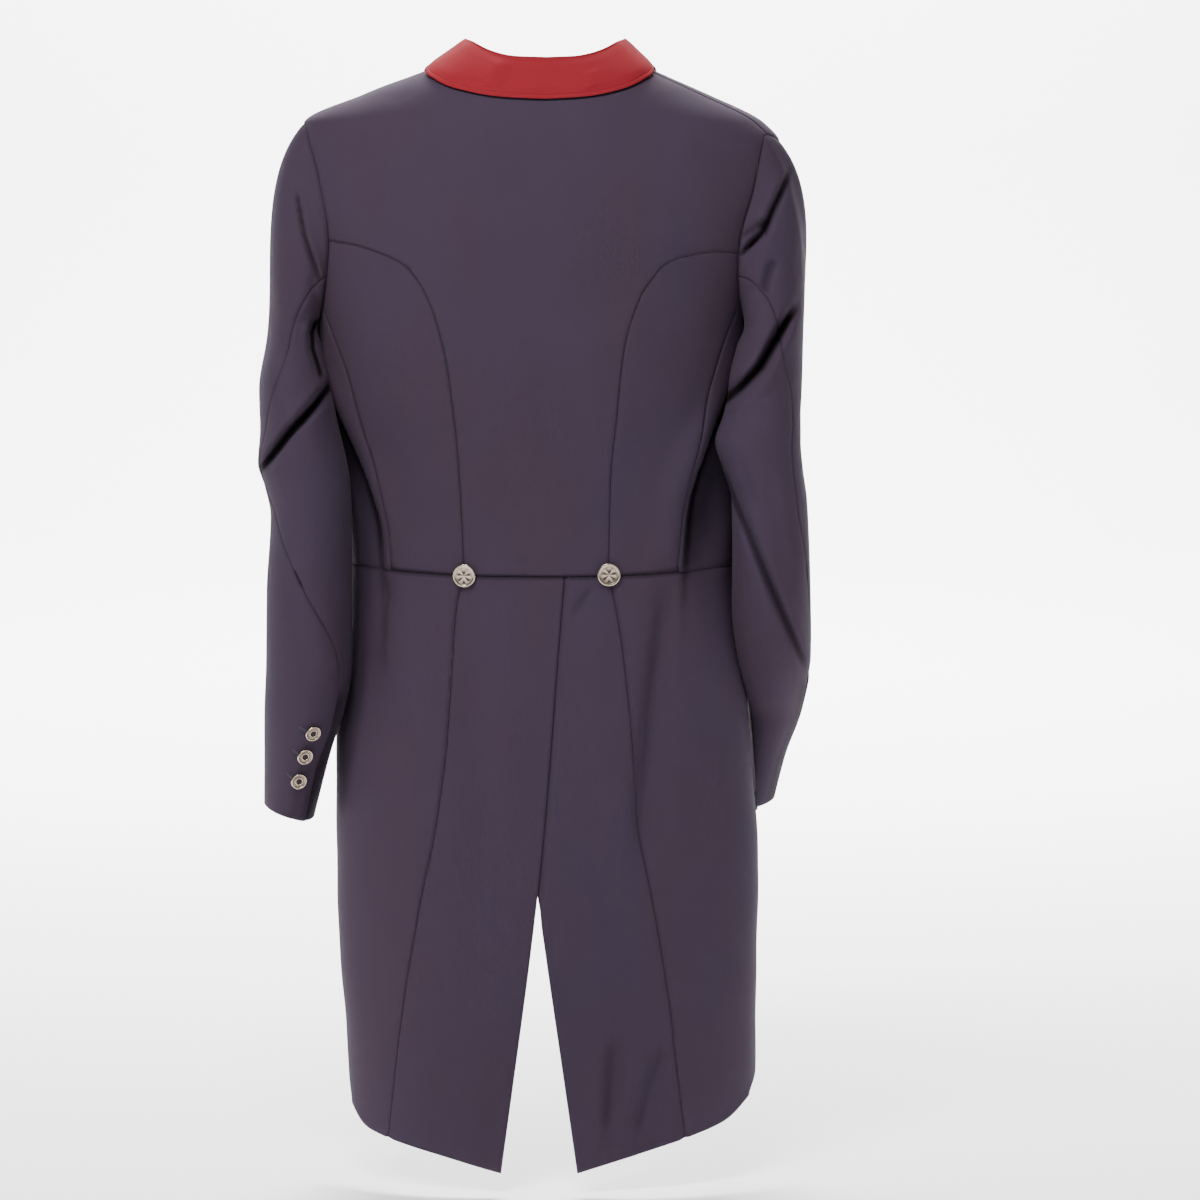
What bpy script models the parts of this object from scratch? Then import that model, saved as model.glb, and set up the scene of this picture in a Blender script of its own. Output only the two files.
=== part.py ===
"""A hollow dressage tailcoat, held in the shape that it has when it is worn.

Sizes are in millimetres and angles in degrees, and the meshes are in metres. +Z is up, the
back faces +Y and the wearer's left is +X. The origin is the middle of the neck, level with
the shoulder beside the collar.

The body and the tails are one surface of two numbers: an angle round the body, 0 at the
middle of the back and growing to the wearer's left, and a height. Each sleeve is a surface of
an angle round the arm, 0 on its outer side and 90 at its back, and a way down the arm. A panel
is a grid on such a surface between its seams, and it becomes a wall of cloth.
"""

import bpy
import numpy as np

MM = 0.001
CLOTH = 2.0
SEAM_HALF = 0.2
CLOSE = 1e-4
RIM_ORDER = np.array((0.37, 0.61, 1.0))

# Sections of the body and the tails, from the neck to the hem.
BODY_COLUMNS = ("height", "left", "right", "widest_y", "back_y", "front_y")
BODY_RINGS = (
    (12, 36, 33, 0, 20, -19),
    (-3, 66, 61, 0, 37, -36),
    (-20, 106, 97, 0, 51, -51),
    (-40, 160, 142, 1, 66, -69),
    (-66, 214, 194, 3, 80, -84),
    (-84, 217, 208, 3, 86, -92),
    (-120, 215, 204, 2, 95, -106),
    (-170, 209, 190, 0, 103, -122),
    (-245, 206, 180, -4, 104, -134),
    (-300, 204, 180, -8, 98, -132),
    (-370, 185, 177, -16, 86, -120),
    (-430, 178, 175, -20, 77, -110),
    (-470, 176, 173, -20, 75, -106),
    (-540, 178, 177, -12, 84, -108),
    (-620, 189, 184, -10, 95, -110),
    (-720, 190, 191, -10, 102, -112),
    (-880, 182, 190, -10, 106, -112),
    (-1010, 176, 190, -10, 106, -112),
)
SQUARENESS = 2.3

# The neck edge, by the angle round the body, from the middle of the back to the roll line.
NECK_LINE = (
    (0, -34),
    (14, -28),
    (30, -19),
    (50, -9),
    (70, -4),
    (90, -3),
    (115, -6),
    (139, -15),
    (155, -31),
    (164, -44),
)
SHOULDER_SEAM = {"left": 84, "right": 72}
ARMHOLE_TOP_Z = {"left": -66, "right": -76}
ARMHOLE_LOW_Z = {"left": -250, "right": -246}
ARMHOLE_BACK = {"left": 25.5, "right": 27.0}
ARMHOLE_FRONT = {"left": 27.0, "right": 27.0}

# Seams as (distance from the middle, height), each from its lower end up.
PRINCESS_UPRIGHT = {
    "left": ((71, -464), (75, -383), (84, -286), (94, -239), (105, -212), (118, -193)),
    "right": ((-56, -464), (-58, -379), (-63, -325), (-70, -260), (-84, -217), (-101, -192)),
}
PRINCESS_TOP = {
    "left": ((118, -193), (128, -185), (141, -178), (156, -172), (174, -169)),
    "right": ((-101, -192), (-112, -184), (-123, -180), (-136, -177), (-150, -178)),
}
SIDE_SEAM = {
    "left": ((136, -460), (138, -418), (150, -344), (158, -297), (170, -267)),
    "right": ((-117, -460), (-119, -425), (-128, -354), (-142, -285), (-154, -256)),
}
PLEAT_SEAM = {
    "left": (
        (71, -464),
        (78, -488),
        (82, -538),
        (87, -613),
        (99, -696),
        (115, -774),
        (127, -850),
        (141, -968),
    ),
    "right": (
        (-56, -464),
        (-63, -495),
        (-69, -540),
        (-76, -613),
        (-86, -696),
        (-99, -774),
        (-111, -850),
        (-124, -965),
    ),
}
VENT_EDGE = {
    "left": ((-16, -464), (-11, -524), (-3, -629), (7, -739), (40, -992)),
    "right": ((45, -464), (37, -524), (22, -629), (7, -739), (-29, -992)),
}
HEM = {
    "left": ((40, -992), (88, -980), (141, -968), (163, -961), (176, -947)),
    "right": ((-29, -992), (-80, -977), (-124, -965), (-161, -954), (-183, -938)),
}
TAIL_CORNER_Z = -912
TAIL_CORNER_ANGLE = 90
TAIL_FRONT_ANGLE = 104
UNDERLAP_STEP = 2.8
UNDERLAP_REACH = 30
UNDERLAP_SPREAD = 14

# The fronts, which cross at the middle, the right one on top.
FRONT_EDGE_X = {"left": -3, "right": 17}
BREAK_Z = {"left": -292, "right": -292}
FRONT_OVERLAP_STEP = 2.9
FRONT_OVERLAP_REACH = 14
FRONT_OVERLAP_SPREAD = 8
FRONT_OVERLAP_TOP_Z = -205
FRONT_OVERLAP_FADE = 38
WAIST_Z = -464
WAIST_RISE = 6
WAIST_POINT = 22

# The deep fold down each side of the back, where the back swells over the side.
SIDE_FOLD_COLUMNS = ("height", "left", "right", "left_depth", "right_depth")
SIDE_FOLD = (
    (-560, 138, 117, 0, 0),
    (-470, 142, 121, 4, 4),
    (-425, 145, 124, 11, 13),
    (-396, 152, 128, 14, 18),
    (-348, 171, 143, 14, 21),
    (-298, 193, 163, 6, 5),
    (-250, 203, 176, 0, 0),
)
SIDE_FOLD_HOLD = {"left": 8, "right": 26}
SIDE_FOLD_FADE = 25
SIDE_FOLD_LEAD = 2
SIDE_FOLD_SPREAD = 9
SIDE_FOLD_SWELL = 0.25

# Soft folds of the body and the tails: how deep, how wide, the ridge beside them, and their line
# as (distance from the middle, height).
BODY_FOLDS = (
    # A drape and a ridge of the right tail, the same of the left one, and a crease at its side.
    (9, 13, 4, ((-112, -455), (-108, -510), (-102, -560), (-96, -615), (-91, -670), (-92, -730))),
    (-3, 18, 0, ((-48, -480), (-50, -560), (-44, -660))),
    (4, 16, 1, ((67, -500), (60, -620), (54, -780))),
    (-3, 18, 0, ((128, -480), (126, -560), (118, -660))),
    (4, 10, 1, ((142, -462), (150, -500), (160, -560))),
    # Two folds that run up from the right tail's hem.
    (6, 13, 3, ((-62, -985), (-64, -930), (-68, -860))),
    (5, 12, 3, ((-90, -985), (-104, -920), (-112, -870))),
)

# Sections of the sleeves below the armhole.
SLEEVE_COLUMNS = ("height", "outer", "inner", "middle_y", "half_depth")
SLEEVE_RINGS = {
    "left": (
        (-262, 249, 203, 8, 64),
        (-300, 254, 195, 31, 60),
        (-335, 253, 185, 36, 57),
        (-366, 255, 176, 38, 55),
        (-386, 249, 173, 38, 55),
        (-412, 244, 172, 38, 54),
        (-480, 248, 172, 38, 53),
        (-545, 249, 172, 40, 52),
        (-585, 251, 179, 36, 51),
        (-625, 252, 192, 24, 50),
        (-700, 254, 212, 6, 50),
    ),
    "right": (
        (-262, 229, 177, 18, 62),
        (-285, 228, 171, 32, 60),
        (-305, 227, 165, 40, 56),
        (-322, 226, 157, 46, 52),
        (-345, 226, 150, 51, 50),
        (-370, 228, 157, 50, 50),
        (-398, 232, 168, 44, 51),
        (-450, 235, 172, 34, 53),
        (-500, 237, 173, 20, 52),
        (-540, 238, 171, 2, 51),
        (-572, 235, 172, -20, 50),
        (-600, 231, 173, -46, 50),
        (-640, 218, 169, -64, 48),
        (-710, 202, 158, -84, 46),
    ),
}
BICEPS_Z = -262
PRESS_CLEAR = 2.0
FOREARM_CLEAR = 1.6
CUFF_Z = {"left": -680, "right": -686}
CUFF_SLANT = {"left": 7, "right": 5}

# The seam at the back of the arm, as (height, angle) down the sleeve, and the angle of the seam
# at the front of the arm.
HIND_SEAM = {
    "left": (
        (-200, 118),
        (-262, 84),
        (-330, 40),
        (-380, 18),
        (-419, 40),
        (-475, 87),
        (-546, 139),
        (-600, 138),
        (-640, 130),
        (-700, 131),
    ),
    "right": (
        (-200, 118),
        (-262, 72),
        (-330, 40),
        (-400, 46),
        (-450, 30),
        (-510, 14),
        (-560, -4),
        (-620, -14),
        (-710, -20),
    ),
}
FORE_SEAM_ANGLE = 238

# Creases of the sleeves, on their back (1) or on their front (-1), with the columns of the others.
SLEEVE_FOLDS = {
    "left": (
        # At the elbow, at the sleeve head, on the upper arm, and two at the front of the elbow.
        (1, 11, 10, 5, ((186, -300), (202, -314), (224, -336), (256, -368))),
        (1, 3, 9, 1, ((221, -125), (213, -165), (201, -205))),
        (1, 4, 9, 3, ((245, -238), (226, -238), (204, -247))),
        (-1, 8, 11, 4, ((252, -330), (222, -362), (186, -378))),
        (-1, 5, 12, 3, ((250, -400), (215, -424), (180, -418))),
    ),
    "right": (
        # At the elbow, down the forearm, at the sleeve head, and two at the front of the elbow.
        (1, 11, 10, 5, ((-222, -232), (-206, -262), (-190, -282), (-172, -302), (-150, -334))),
        (1, 8, 11, 4, ((-152, -362), (-174, -412), (-197, -466), (-222, -525), (-236, -548))),
        (1, 6, 10, 4, ((-216, -110), (-206, -130), (-198, -146), (-190, -162), (-176, -178))),
        (-1, 8, 11, 4, ((-226, -318), (-200, -352), (-170, -366))),
        (-1, 5, 12, 3, ((-230, -395), (-204, -418), (-180, -408))),
    ),
}

# The collar, from the middle of the back round to its front end: the angle of its seam, its
# folded top, and its falling edge as a place on the body.
COLLAR_COLUMNS = ("seam_angle", "fold_x", "fold_y", "fold_z", "edge_angle", "edge_height")
COLLAR = (
    (0, 0, 51, -9, 0, -45),
    (12, 26, 48, -8, 11, -43),
    (27, 48, 37, -3, 26, -37),
    (52, 64, 18, 5, 50, -27),
    (88, 71, -5, 8, 88, -19),
    (139, 71, -40, -4, 144, -40),
    (164, 56, -72, -36, 158, -74),
)
COLLAR_LIFT = 3.4
COLLAR_GAP = 0.8
COLLAR_BOW = 3.5
COLLAR_ROLL = 2.0
COLLAR_WAYS = (0, 0.5, 0.88, 1.0, 1.12, 1.35, 1.68, 2.0)

# The lapel, as (distance from the middle, height) on the front: its top edge from the roll line
# to the peak, and its outer edge from the peak down.
LAPEL_TOP = ((49, -54), (66, -68), (84, -82), (101, -84), (119, -85))
LAPEL_OUTER = ((119, -85), (108, -130), (80, -188))
LAPEL_FOOT_Z = {"left": -236, "right": -284}
LAPEL_FOOT_WIDTH = 8
LAPEL_LIFT = 2.9

# The buttons, with the height of each one on a cuff or the front, and how far it is set off the
# curve that the panel's flat facets follow. The profile is (share of the radius, share of the
# thickness), from the back's rim to the inside of the face's rim.
TAIL_BUTTON = {"radius": 10.5, "thick": 3.0, "places": ((71, -463), (-56, -462))}
CUFF_BUTTON = {"radius": 7.4, "thick": 2.6}
CUFF_BUTTON_TURN = {"left": 27, "right": 34}
CUFF_BUTTON_ROWS = {
    "left": ((-600, 0.6), (-622, 0.6), (-645, 0.6)),
    "right": ((-609, -1.1), (-631, 0.9), (-653, 0.8)),
}
FRONT_BUTTON = {"radius": 9.0, "thick": 2.8, "x": 6, "rows": ((-312, -0.7), (-366, 0.8), (-420, 0.8))}
BUTTON_PROFILE = ((0.86, 0.0), (1.0, 0.3), (1.0, 0.62), (0.9, 1.0), (0.74, 0.86))
BUTTON_DISH = 0.8
BUTTON_SIDES = 16
TAIL_BUTTON_GAP = 1.0


def smooth(at, places, values):
    """A curve through a table that doesn't swing past its values: cubic pieces whose slope at a
    row is the harmonic mean of the slopes beside it, or 0 where they differ in sign."""
    order = np.argsort(places)
    places = np.asarray(places, float)[order]
    values = np.asarray(values, float)[order]
    run = np.diff(places)
    rise = np.diff(values) / run
    before, after = rise[:-1], rise[1:]
    same = before * after > 0
    mean = np.where(same, 2 * before * after / np.where(same, before + after, 1), 0)
    slope = np.concatenate([rise[:1], mean, rise[-1:]])
    at = np.clip(at, places[0], places[-1])
    i = np.clip(np.searchsorted(places, at) - 1, 0, len(run) - 1)
    t = (at - places[i]) / run[i]
    start = (1 + 2 * t) * (1 - t) ** 2 * values[i] + t * (1 - t) ** 2 * run[i] * slope[i]
    end = t**2 * (3 - 2 * t) * values[i + 1] - t**2 * (1 - t) * run[i] * slope[i + 1]
    return start + end


def step(value):
    """0 below 0, 1 above 1 and a soft S between."""
    value = np.clip(value, 0, 1)
    return value * value * (3 - 2 * value)


def unit(vectors):
    return vectors / np.maximum(np.linalg.norm(vectors, axis=-1, keepdims=True), 1e-9)


def table(names, rows):
    """The columns of a table by their names."""
    return dict(zip(names, np.array(rows, float).T))


def ladder(breaks, counts):
    """Values from one break to the next, each stretch divided evenly."""
    parts = [np.linspace(a, b, n, endpoint=False) for a, b, n in zip(breaks, breaks[1:], counts)]
    return np.concatenate(parts + [[breaks[-1]]])


def along(points, count):
    """count + 1 points spread evenly by length on a smooth curve through the given ones."""
    points = np.asarray(points, float)
    way = np.concatenate([[0], np.cumsum(np.linalg.norm(np.diff(points, axis=0), axis=1))])
    fine = np.linspace(0, way[-1], 200)
    curve = np.stack([smooth(fine, way, axis) for axis in points.T], axis=1)
    real = np.concatenate([[0], np.cumsum(np.linalg.norm(np.diff(curve, axis=0), axis=1))])
    at = np.linspace(0, real[-1], count + 1)
    return np.stack([np.interp(at, real, axis) for axis in curve.T], axis=1)


def progress(edge):
    """How far along an edge each of its points is, from 0 to 1."""
    way = np.concatenate([[0], np.cumsum(np.linalg.norm(np.diff(edge, axis=0), axis=1))])
    return way / way[-1]


def coons(bottom, top, first, last):
    """A grid that fills the space inside four edges: the two ways of ruling it added, less the
    grid that its corners alone would make. Rows run from bottom to top."""
    across = ((progress(bottom) + progress(top)) / 2)[None, :, None]
    up = ((progress(first) + progress(last)) / 2)[:, None, None]
    ruled = (1 - up) * bottom + up * top + (1 - across) * first[:, None] + across * last[:, None]
    corners = (1 - up) * ((1 - across) * bottom[0] + across * bottom[-1])
    return ruled - corners - up * ((1 - across) * top[0] + across * top[-1])


def crease(x, z, line, depth, width, ridge):
    """How far a fold moves the cloth: a trough along its line that fades at its ends, with a
    lower ridge on its upper or outer side."""
    line = np.asarray(line, float)
    lengths = np.linalg.norm(np.diff(line, axis=0), axis=1)
    starts = np.concatenate([[0], np.cumsum(lengths)])
    nearest = np.full(np.shape(x), np.inf)
    offset = np.zeros(np.shape(x))
    share = np.zeros(np.shape(x))
    for (ax, az), (bx, bz), length, start in zip(line, line[1:], lengths, starts):
        dx, dz = (bx - ax) / length, (bz - az) / length
        t = np.clip((x - ax) * dx + (z - az) * dz, 0, length)
        away = np.hypot(x - ax - t * dx, z - az - t * dz)
        beside = (x - ax) * dz - (z - az) * dx
        closer = away < nearest
        nearest = np.where(closer, away, nearest)
        offset = np.where(closer, np.sign(beside) * away, offset)
        share = np.where(closer, (start + t) / starts[-1], share)
    fade = step(share / 0.22) * step((1 - share) / 0.22) * 0.85 + 0.15 * (nearest < 2 * width)
    side = np.sign(line[-1, 0] - line[0, 0]) or 1
    trough = -depth * np.exp(-((nearest / width) ** 2))
    crest = ridge * np.exp(-(((side * offset + 1.9 * width) / (1.3 * width)) ** 2))
    return fade * (trough + crest)


def body_half(height, positive):
    """The half width of the section at a height, on the wearer's left or right."""
    rings = table(BODY_COLUMNS, BODY_RINGS)
    left = smooth(height, rings["height"], rings["left"])
    right = smooth(height, rings["height"], rings["right"])
    return np.where(positive, left, right)


def body_depths(height):
    """Where the section at a height is widest, and its back and its front, along Y."""
    rings = table(BODY_COLUMNS, BODY_RINGS)
    return (smooth(height, rings["height"], rings[name]) for name in ("widest_y", "back_y", "front_y"))


def body_angle(x, height, front=0):
    """The angle at which the surface has this x: on the back, or on the front of the left (1) or
    the right (-1) panel, whose angles run on past the middle of the front."""
    x = np.asarray(x, float)
    share = np.clip(np.abs(x) / body_half(height, x >= 0), 0, 1)
    angle = np.degrees(np.arcsin(share ** (SQUARENESS / 2))) * np.sign(x)
    return angle if front == 0 else front * 180 - angle


def on_body(points, front=0):
    """Points given as (x, height) turned into (angle, height)."""
    points = np.asarray(points, float)
    return np.stack([body_angle(points[..., 0], points[..., 1], front), points[..., 1]], axis=-1)


def side_fold(angle, height):
    """The step beside the back's swell: nothing inside the fold's line, and beyond it a drop
    that the cloth makes up again towards the front."""
    rows = table(SIDE_FOLD_COLUMNS, SIDE_FOLD)
    left, right, left_depth, right_depth = (
        smooth(height, rows["height"], rows[name]) for name in SIDE_FOLD_COLUMNS[1:]
    )
    depth = np.where(angle >= 0, left_depth, right_depth)
    line_x = np.where(angle >= 0, left, -right)
    line = np.abs(body_angle(line_x, height))
    beyond = np.abs(angle) - line
    hold = np.where(angle >= 0, SIDE_FOLD_HOLD["left"], SIDE_FOLD_HOLD["right"])
    drop = step((beyond + SIDE_FOLD_LEAD) / SIDE_FOLD_SPREAD) * (1 - step((beyond - hold) / SIDE_FOLD_FADE))
    swell = SIDE_FOLD_SWELL * np.exp(-(((beyond + 7) / 6) ** 2))
    return depth * (swell - drop) * (np.abs(angle) < 175)


def body_point(angle, height, lift=0.0):
    """A point of the body: a squared oval whose halves have their own depths, moved out or in by
    the folds, which lie on the back half."""
    angle, height = np.broadcast_arrays(np.asarray(angle, float), np.asarray(height, float))
    widest, back, front = body_depths(height)
    turn = np.radians(angle)
    across, ahead = np.sin(turn), np.cos(turn)
    power = 2 / SQUARENESS
    x = body_half(height, across >= 0) * np.sign(across) * np.abs(across) ** power
    reach = np.where(ahead >= 0, back - widest, widest - front)
    y = widest + reach * np.sign(ahead) * np.abs(ahead) ** power
    move = side_fold(angle, height) + lift
    on_back = step((ahead + 0.1) / 0.4)
    for depth, width, ridge, line in BODY_FOLDS:
        move = move + on_back * crease(x, height, line, depth, width, ridge)
    return np.stack([x + move * across, y + move * ahead, height], axis=-1)


def surface_normals(function, first, second):
    """The direction that a surface of two numbers faces, from points a little to each side."""
    near = 0.4
    one = function(first + near, second) - function(first - near, second)
    two = function(first, second + near) - function(first, second - near)
    return unit(np.cross(two, one))


def body_grid(grid, lift=None):
    """The points and the outward directions of a grid of (angle, height)."""
    angle, height = grid[..., 0], grid[..., 1]

    def at(a, h):
        return body_point(a, h, 0.0 if lift is None else lift(a, h))

    return at(angle, height), surface_normals(at, angle, height)


def armhole(side, turn):
    """(angle, height) of the armhole seam at a turn round the arm: an egg shape, flattened so
    that its foot is round and its top meets the shoulder seam."""
    sign = 1 if side == "left" else -1
    a = np.radians(turn)
    top, low = ARMHOLE_TOP_Z[side], ARMHOLE_LOW_Z[side]
    height = (top + low) / 2 + (top - low) / 2 * np.cos(a)
    lean = (90 - SHOULDER_SEAM[side]) * ((1 + np.cos(a)) / 2) ** 6
    across = np.abs(np.sin(a)) ** (0.7 + 0.2 * (1 + np.cos(a)))
    behind = np.sin(a) >= 0
    angle = 90 - lean - np.where(behind, ARMHOLE_BACK[side], -ARMHOLE_FRONT[side]) * across
    return np.stack([sign * angle, height], axis=-1)


def armhole_directions(side, turn):
    """The direction in which both walls are thick at the armhole seam: between the body's, which
    faces the arm, and the sleeve's, which faces away from the arm's axis."""
    sign = 1 if side == "left" else -1
    a = np.radians(turn)
    outward = sign * (0.75 * np.cos(a / 2) ** 2 + 0.35 * np.abs(np.sin(a)))
    return unit(np.stack([outward, np.sin(a), np.cos(a)], axis=-1))


# Turns round the armhole at which seams meet it, and the divisions between them.
ARM_TURNS = {"left": (0, 97, 118, 140, 205, 238, 360), "right": (0, 103, 118, 138, 205, 238, 360)}
ARM_COUNTS = (6, 2, 2, 5, 2, 6)
ARM_NAMES = ("tip", "princess", "hind", "side", "chest", "fore", "end")
ARM_MARKS = dict(zip(ARM_NAMES, np.cumsum((0,) + ARM_COUNTS)))


def arm_turns(side, start, end):
    turns = ladder(ARM_TURNS[side], ARM_COUNTS)
    return turns[ARM_MARKS[start] : ARM_MARKS[end] + 1]


def sleeve_oval(side, turn, height):
    """A point of the arm's oval section at a height, before any crease."""
    sign = 1 if side == "left" else -1
    rings = table(SLEEVE_COLUMNS, SLEEVE_RINGS[side])
    outer, inner, middle_y, half_depth = (
        smooth(height, rings["height"], rings[name]) for name in SLEEVE_COLUMNS[1:]
    )
    a = np.radians(turn)
    x = sign * ((outer + inner) / 2 + (outer - inner) / 2 * np.cos(a))
    return np.stack([x, middle_y + half_depth * np.sin(a), height + 0 * x], axis=-1)


def sleeve_creases(side, turn, x, z):
    """How far the creases move the sleeve's cloth out, at a turn round the arm and a place."""
    a = np.radians(turn)
    move = np.zeros(np.shape(x))
    for facing, depth, width, ridge, line in SLEEVE_FOLDS[side]:
        shown = step((facing * np.sin(a) + 0.35) / 0.5)
        move = move + shown * crease(x, z, line, depth, width, ridge)
    return move


def pressed(side, points, way):
    """Lays the sleeve flat against the body: a point that would come nearer to it than the
    clearance moves out sideways."""
    sign = 1 if side == "left" else -1
    height = points[..., 2]
    widest, back, front = body_depths(height)
    ahead = points[..., 1] - widest
    reach = np.where(ahead >= 0, back - widest, widest - front)
    cosine = np.clip(np.abs(ahead) / reach, 0, 1) ** (SQUARENESS / 2)
    limit = body_half(height, sign > 0) * (1 - cosine**2) ** (1 / SQUARENESS)
    limit = limit + PRESS_CLEAR * step(way / 0.3) + FOREARM_CLEAR * step((way - 1.35) / 0.2)
    x = sign * np.maximum(sign * points[..., 0], limit)
    return np.stack([x, points[..., 1], height], axis=-1)


def sleeve_point(side, turn, way):
    """A point of the sleeve: way 0 to 1 is the head, a cubic curve from the armhole to the
    biceps that leaves the body sideways and ends straight down the arm, and 1 to 2 is the rest.
    The creases move it in or out, and then it is laid against the body."""
    turn, way = np.broadcast_arrays(np.asarray(turn, float), np.asarray(way, float))
    sign = 1 if side == "left" else -1
    a = np.radians(turn)
    spot = armhole(side, turn)
    start = body_point(spot[..., 0], spot[..., 1])
    biceps = np.full(np.shape(a), float(BICEPS_Z))
    end = sleeve_oval(side, turn, biceps)
    span = np.linalg.norm(end - start, axis=-1, keepdims=True)
    down = unit(sleeve_oval(side, turn, biceps - 1) - end)
    lift = np.cos(a / 2) ** 2
    leave = unit(np.stack([sign * (0.35 + 0.25 * lift), 0.1 * np.sin(a), -0.75 - 0 * a], axis=-1))
    t = np.clip(way, 0, 1)[..., None]
    head = (1 + 2 * t) * (1 - t) ** 2 * start + t * (1 - t) ** 2 * span * leave
    head = head + t**2 * (3 - 2 * t) * end - t**2 * (1 - t) * span * down
    slant = CUFF_SLANT[side] * np.cos(a) * np.clip(way - 1, 0, 1)
    height = BICEPS_Z + (CUFF_Z[side] - BICEPS_Z) * np.clip(way - 1, 0, 1)
    rest = sleeve_oval(side, turn, height + slant)
    point = np.where(way[..., None] < 1, head, rest)
    move = sleeve_creases(side, turn, point[..., 0], point[..., 2]) * step(way / 0.16)
    outward = np.stack([sign * np.cos(a), np.sin(a), 0 * a], axis=-1)
    return pressed(side, point + move[..., None] * outward, way)


def seam_turn(side, way):
    """The turn of the hind seam at each way down the sleeve, which starts at the armhole."""
    heights, turns = np.array(HIND_SEAM[side], float).T
    head = heights[0] + (BICEPS_Z - heights[0]) * way
    rest = BICEPS_Z + (CUFF_Z[side] - BICEPS_Z) * (way - 1)
    return smooth(np.where(way < 1, head, rest), heights, turns)


def wall(name, patches, material, thickness=CLOTH):
    """A closed wall of cloth: the patches' points welded into one sheet, a copy moved in by the
    thickness, and a rim. Each edge is first drawn in a little, square to it, to leave the seam's
    gap. A rim's triangles split the same way on both walls of a seam, so that they stay apart."""
    points = np.concatenate([p.reshape(-1, 3) for p, _ in patches])
    normals = np.concatenate([n.reshape(-1, 3) for _, n in patches])
    quads, start = [], 0
    for grid, _ in patches:
        rows, columns = grid.shape[:2]
        index = start + np.arange(rows * columns).reshape(rows, columns)
        start += rows * columns
        corners = (index[:-1, :-1], index[:-1, 1:], index[1:, 1:], index[1:, :-1])
        quads.append(np.stack(corners, axis=-1).reshape(-1, 4))
    quads = np.concatenate(quads)
    _, first, index = np.unique(np.round(points, 3), axis=0, return_index=True, return_inverse=True)
    points, normals, quads = points[first], unit(normals[first]), index.reshape(-1)[quads]
    one, two, three, four = (points[quads[:, i]] for i in range(4))
    facing = np.cross(three - one, four - two)
    inward = np.einsum("ij,ij->i", facing, normals[quads].sum(axis=1)) < 0
    quads[inward] = quads[inward, ::-1]
    sides = np.concatenate([quads[:, [i, (i + 1) % 4]] for i in range(4)])
    pairs = {(a, b) for a, b in sides.tolist()}
    rim = np.array([(a, b) for a, b in sides.tolist() if (b, a) not in pairs])
    order = points @ RIM_ORDER
    points = points + SEAM_HALF * rim_shift(points, normals, rim)
    count = len(points)
    everything = np.concatenate([points, points - thickness * normals])
    faces = quads.tolist() + (quads[:, ::-1] + count).tolist()
    for a, b in rim.tolist():
        if order[a] < order[b]:
            faces += [(b, a, b + count), (a, a + count, b + count)]
        else:
            faces += [(b, a, a + count), (b, a + count, b + count)]
    return make_object(name, everything, faces, material)


def rim_shift(points, normals, rim):
    """For each point, the way in from the rim that clears both of its edges by one unit."""
    run = unit(points[rim[:, 1]] - points[rim[:, 0]])
    arriving, leaving = np.zeros_like(points), np.zeros_like(points)
    leaving[rim[:, 0]] = unit(np.cross(normals[rim[:, 0]], run))
    arriving[rim[:, 1]] = unit(np.cross(normals[rim[:, 1]], run))
    together = 1 + np.einsum("ij,ij->i", arriving, leaving)
    return (arriving + leaving) / np.clip(together, 0.4, None)[:, None]


def make_object(name, points, faces, material):
    mesh = bpy.data.meshes.new(name)
    mesh.from_pydata((np.asarray(points) * MM).tolist(), [], faces)
    mesh.validate()
    mesh.materials.append(material)
    obj = bpy.data.objects.new(name, mesh)
    bpy.context.scene.collection.objects.link(obj)
    mesh.shade_smooth()
    mesh.set_sharp_from_angle(angle=0.7)
    return obj


def make_material(name, colour, roughness, metallic=0.0):
    material = bpy.data.materials.new(name)
    material.use_nodes = True
    shader = material.node_tree.nodes["Principled BSDF"]
    shader.inputs["Base Color"].default_value = (*colour, 1)
    shader.inputs["Roughness"].default_value = roughness
    shader.inputs["Metallic"].default_value = metallic
    return material


def waist_z(angle):
    """The waist seam: it rises a little to the sides, and the fronts end in a shallow point."""
    ahead = np.clip((np.abs(angle) - TAIL_FRONT_ANGLE) / (180 - TAIL_FRONT_ANGLE), 0, 1)
    return WAIST_Z + WAIST_RISE * np.sin(np.radians(angle)) ** 2 - WAIST_POINT * ahead**1.5


def neck_z(angle):
    """The height of the neck edge at an angle."""
    angles, heights = np.array(NECK_LINE, float).T
    return smooth(np.abs(angle), angles, heights)


def waist_between(start, end, count):
    """The waist seam from one angle to another."""
    angles = np.linspace(start, end, count + 1)
    return np.stack([angles, waist_z(angles)], axis=-1)


def ends_at_waist(points):
    """A seam's points with the first one put on the waist seam."""
    points = points.copy()
    points[0, 1] = waist_z(points[0, 0])
    return points


# How finely the seams are divided.
PRINCESS_ROWS = 10
PRINCESS_STEPS = 4
SIDE_ROWS = 6
BACK_COLUMNS = 8
NECK_COLUMNS = BACK_COLUMNS + 2 * PRINCESS_STEPS
BACK_ROW_ARCH = 12
SHOULDER_STEPS = 5
TAIL_ROWS = 17
FRONT_SHARES = (0, 0.3, 0.58, 0.8, 0.9, 1)
ROLL_STEPS = 4
LAPEL_ROWS = 8
FRONT_NECK_STEPS = 4
FRONT_EDGE_ROWS = 4
TAIL_BACK_COLUMNS = {"left": 6, "right": 7}
TAIL_SIDE_COLUMNS = 6
SLEEVE_BREAKS = (0, 1, 1.12, 1.34, 2)
SLEEVE_ROWS = (7, 3, 11, 9)


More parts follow.
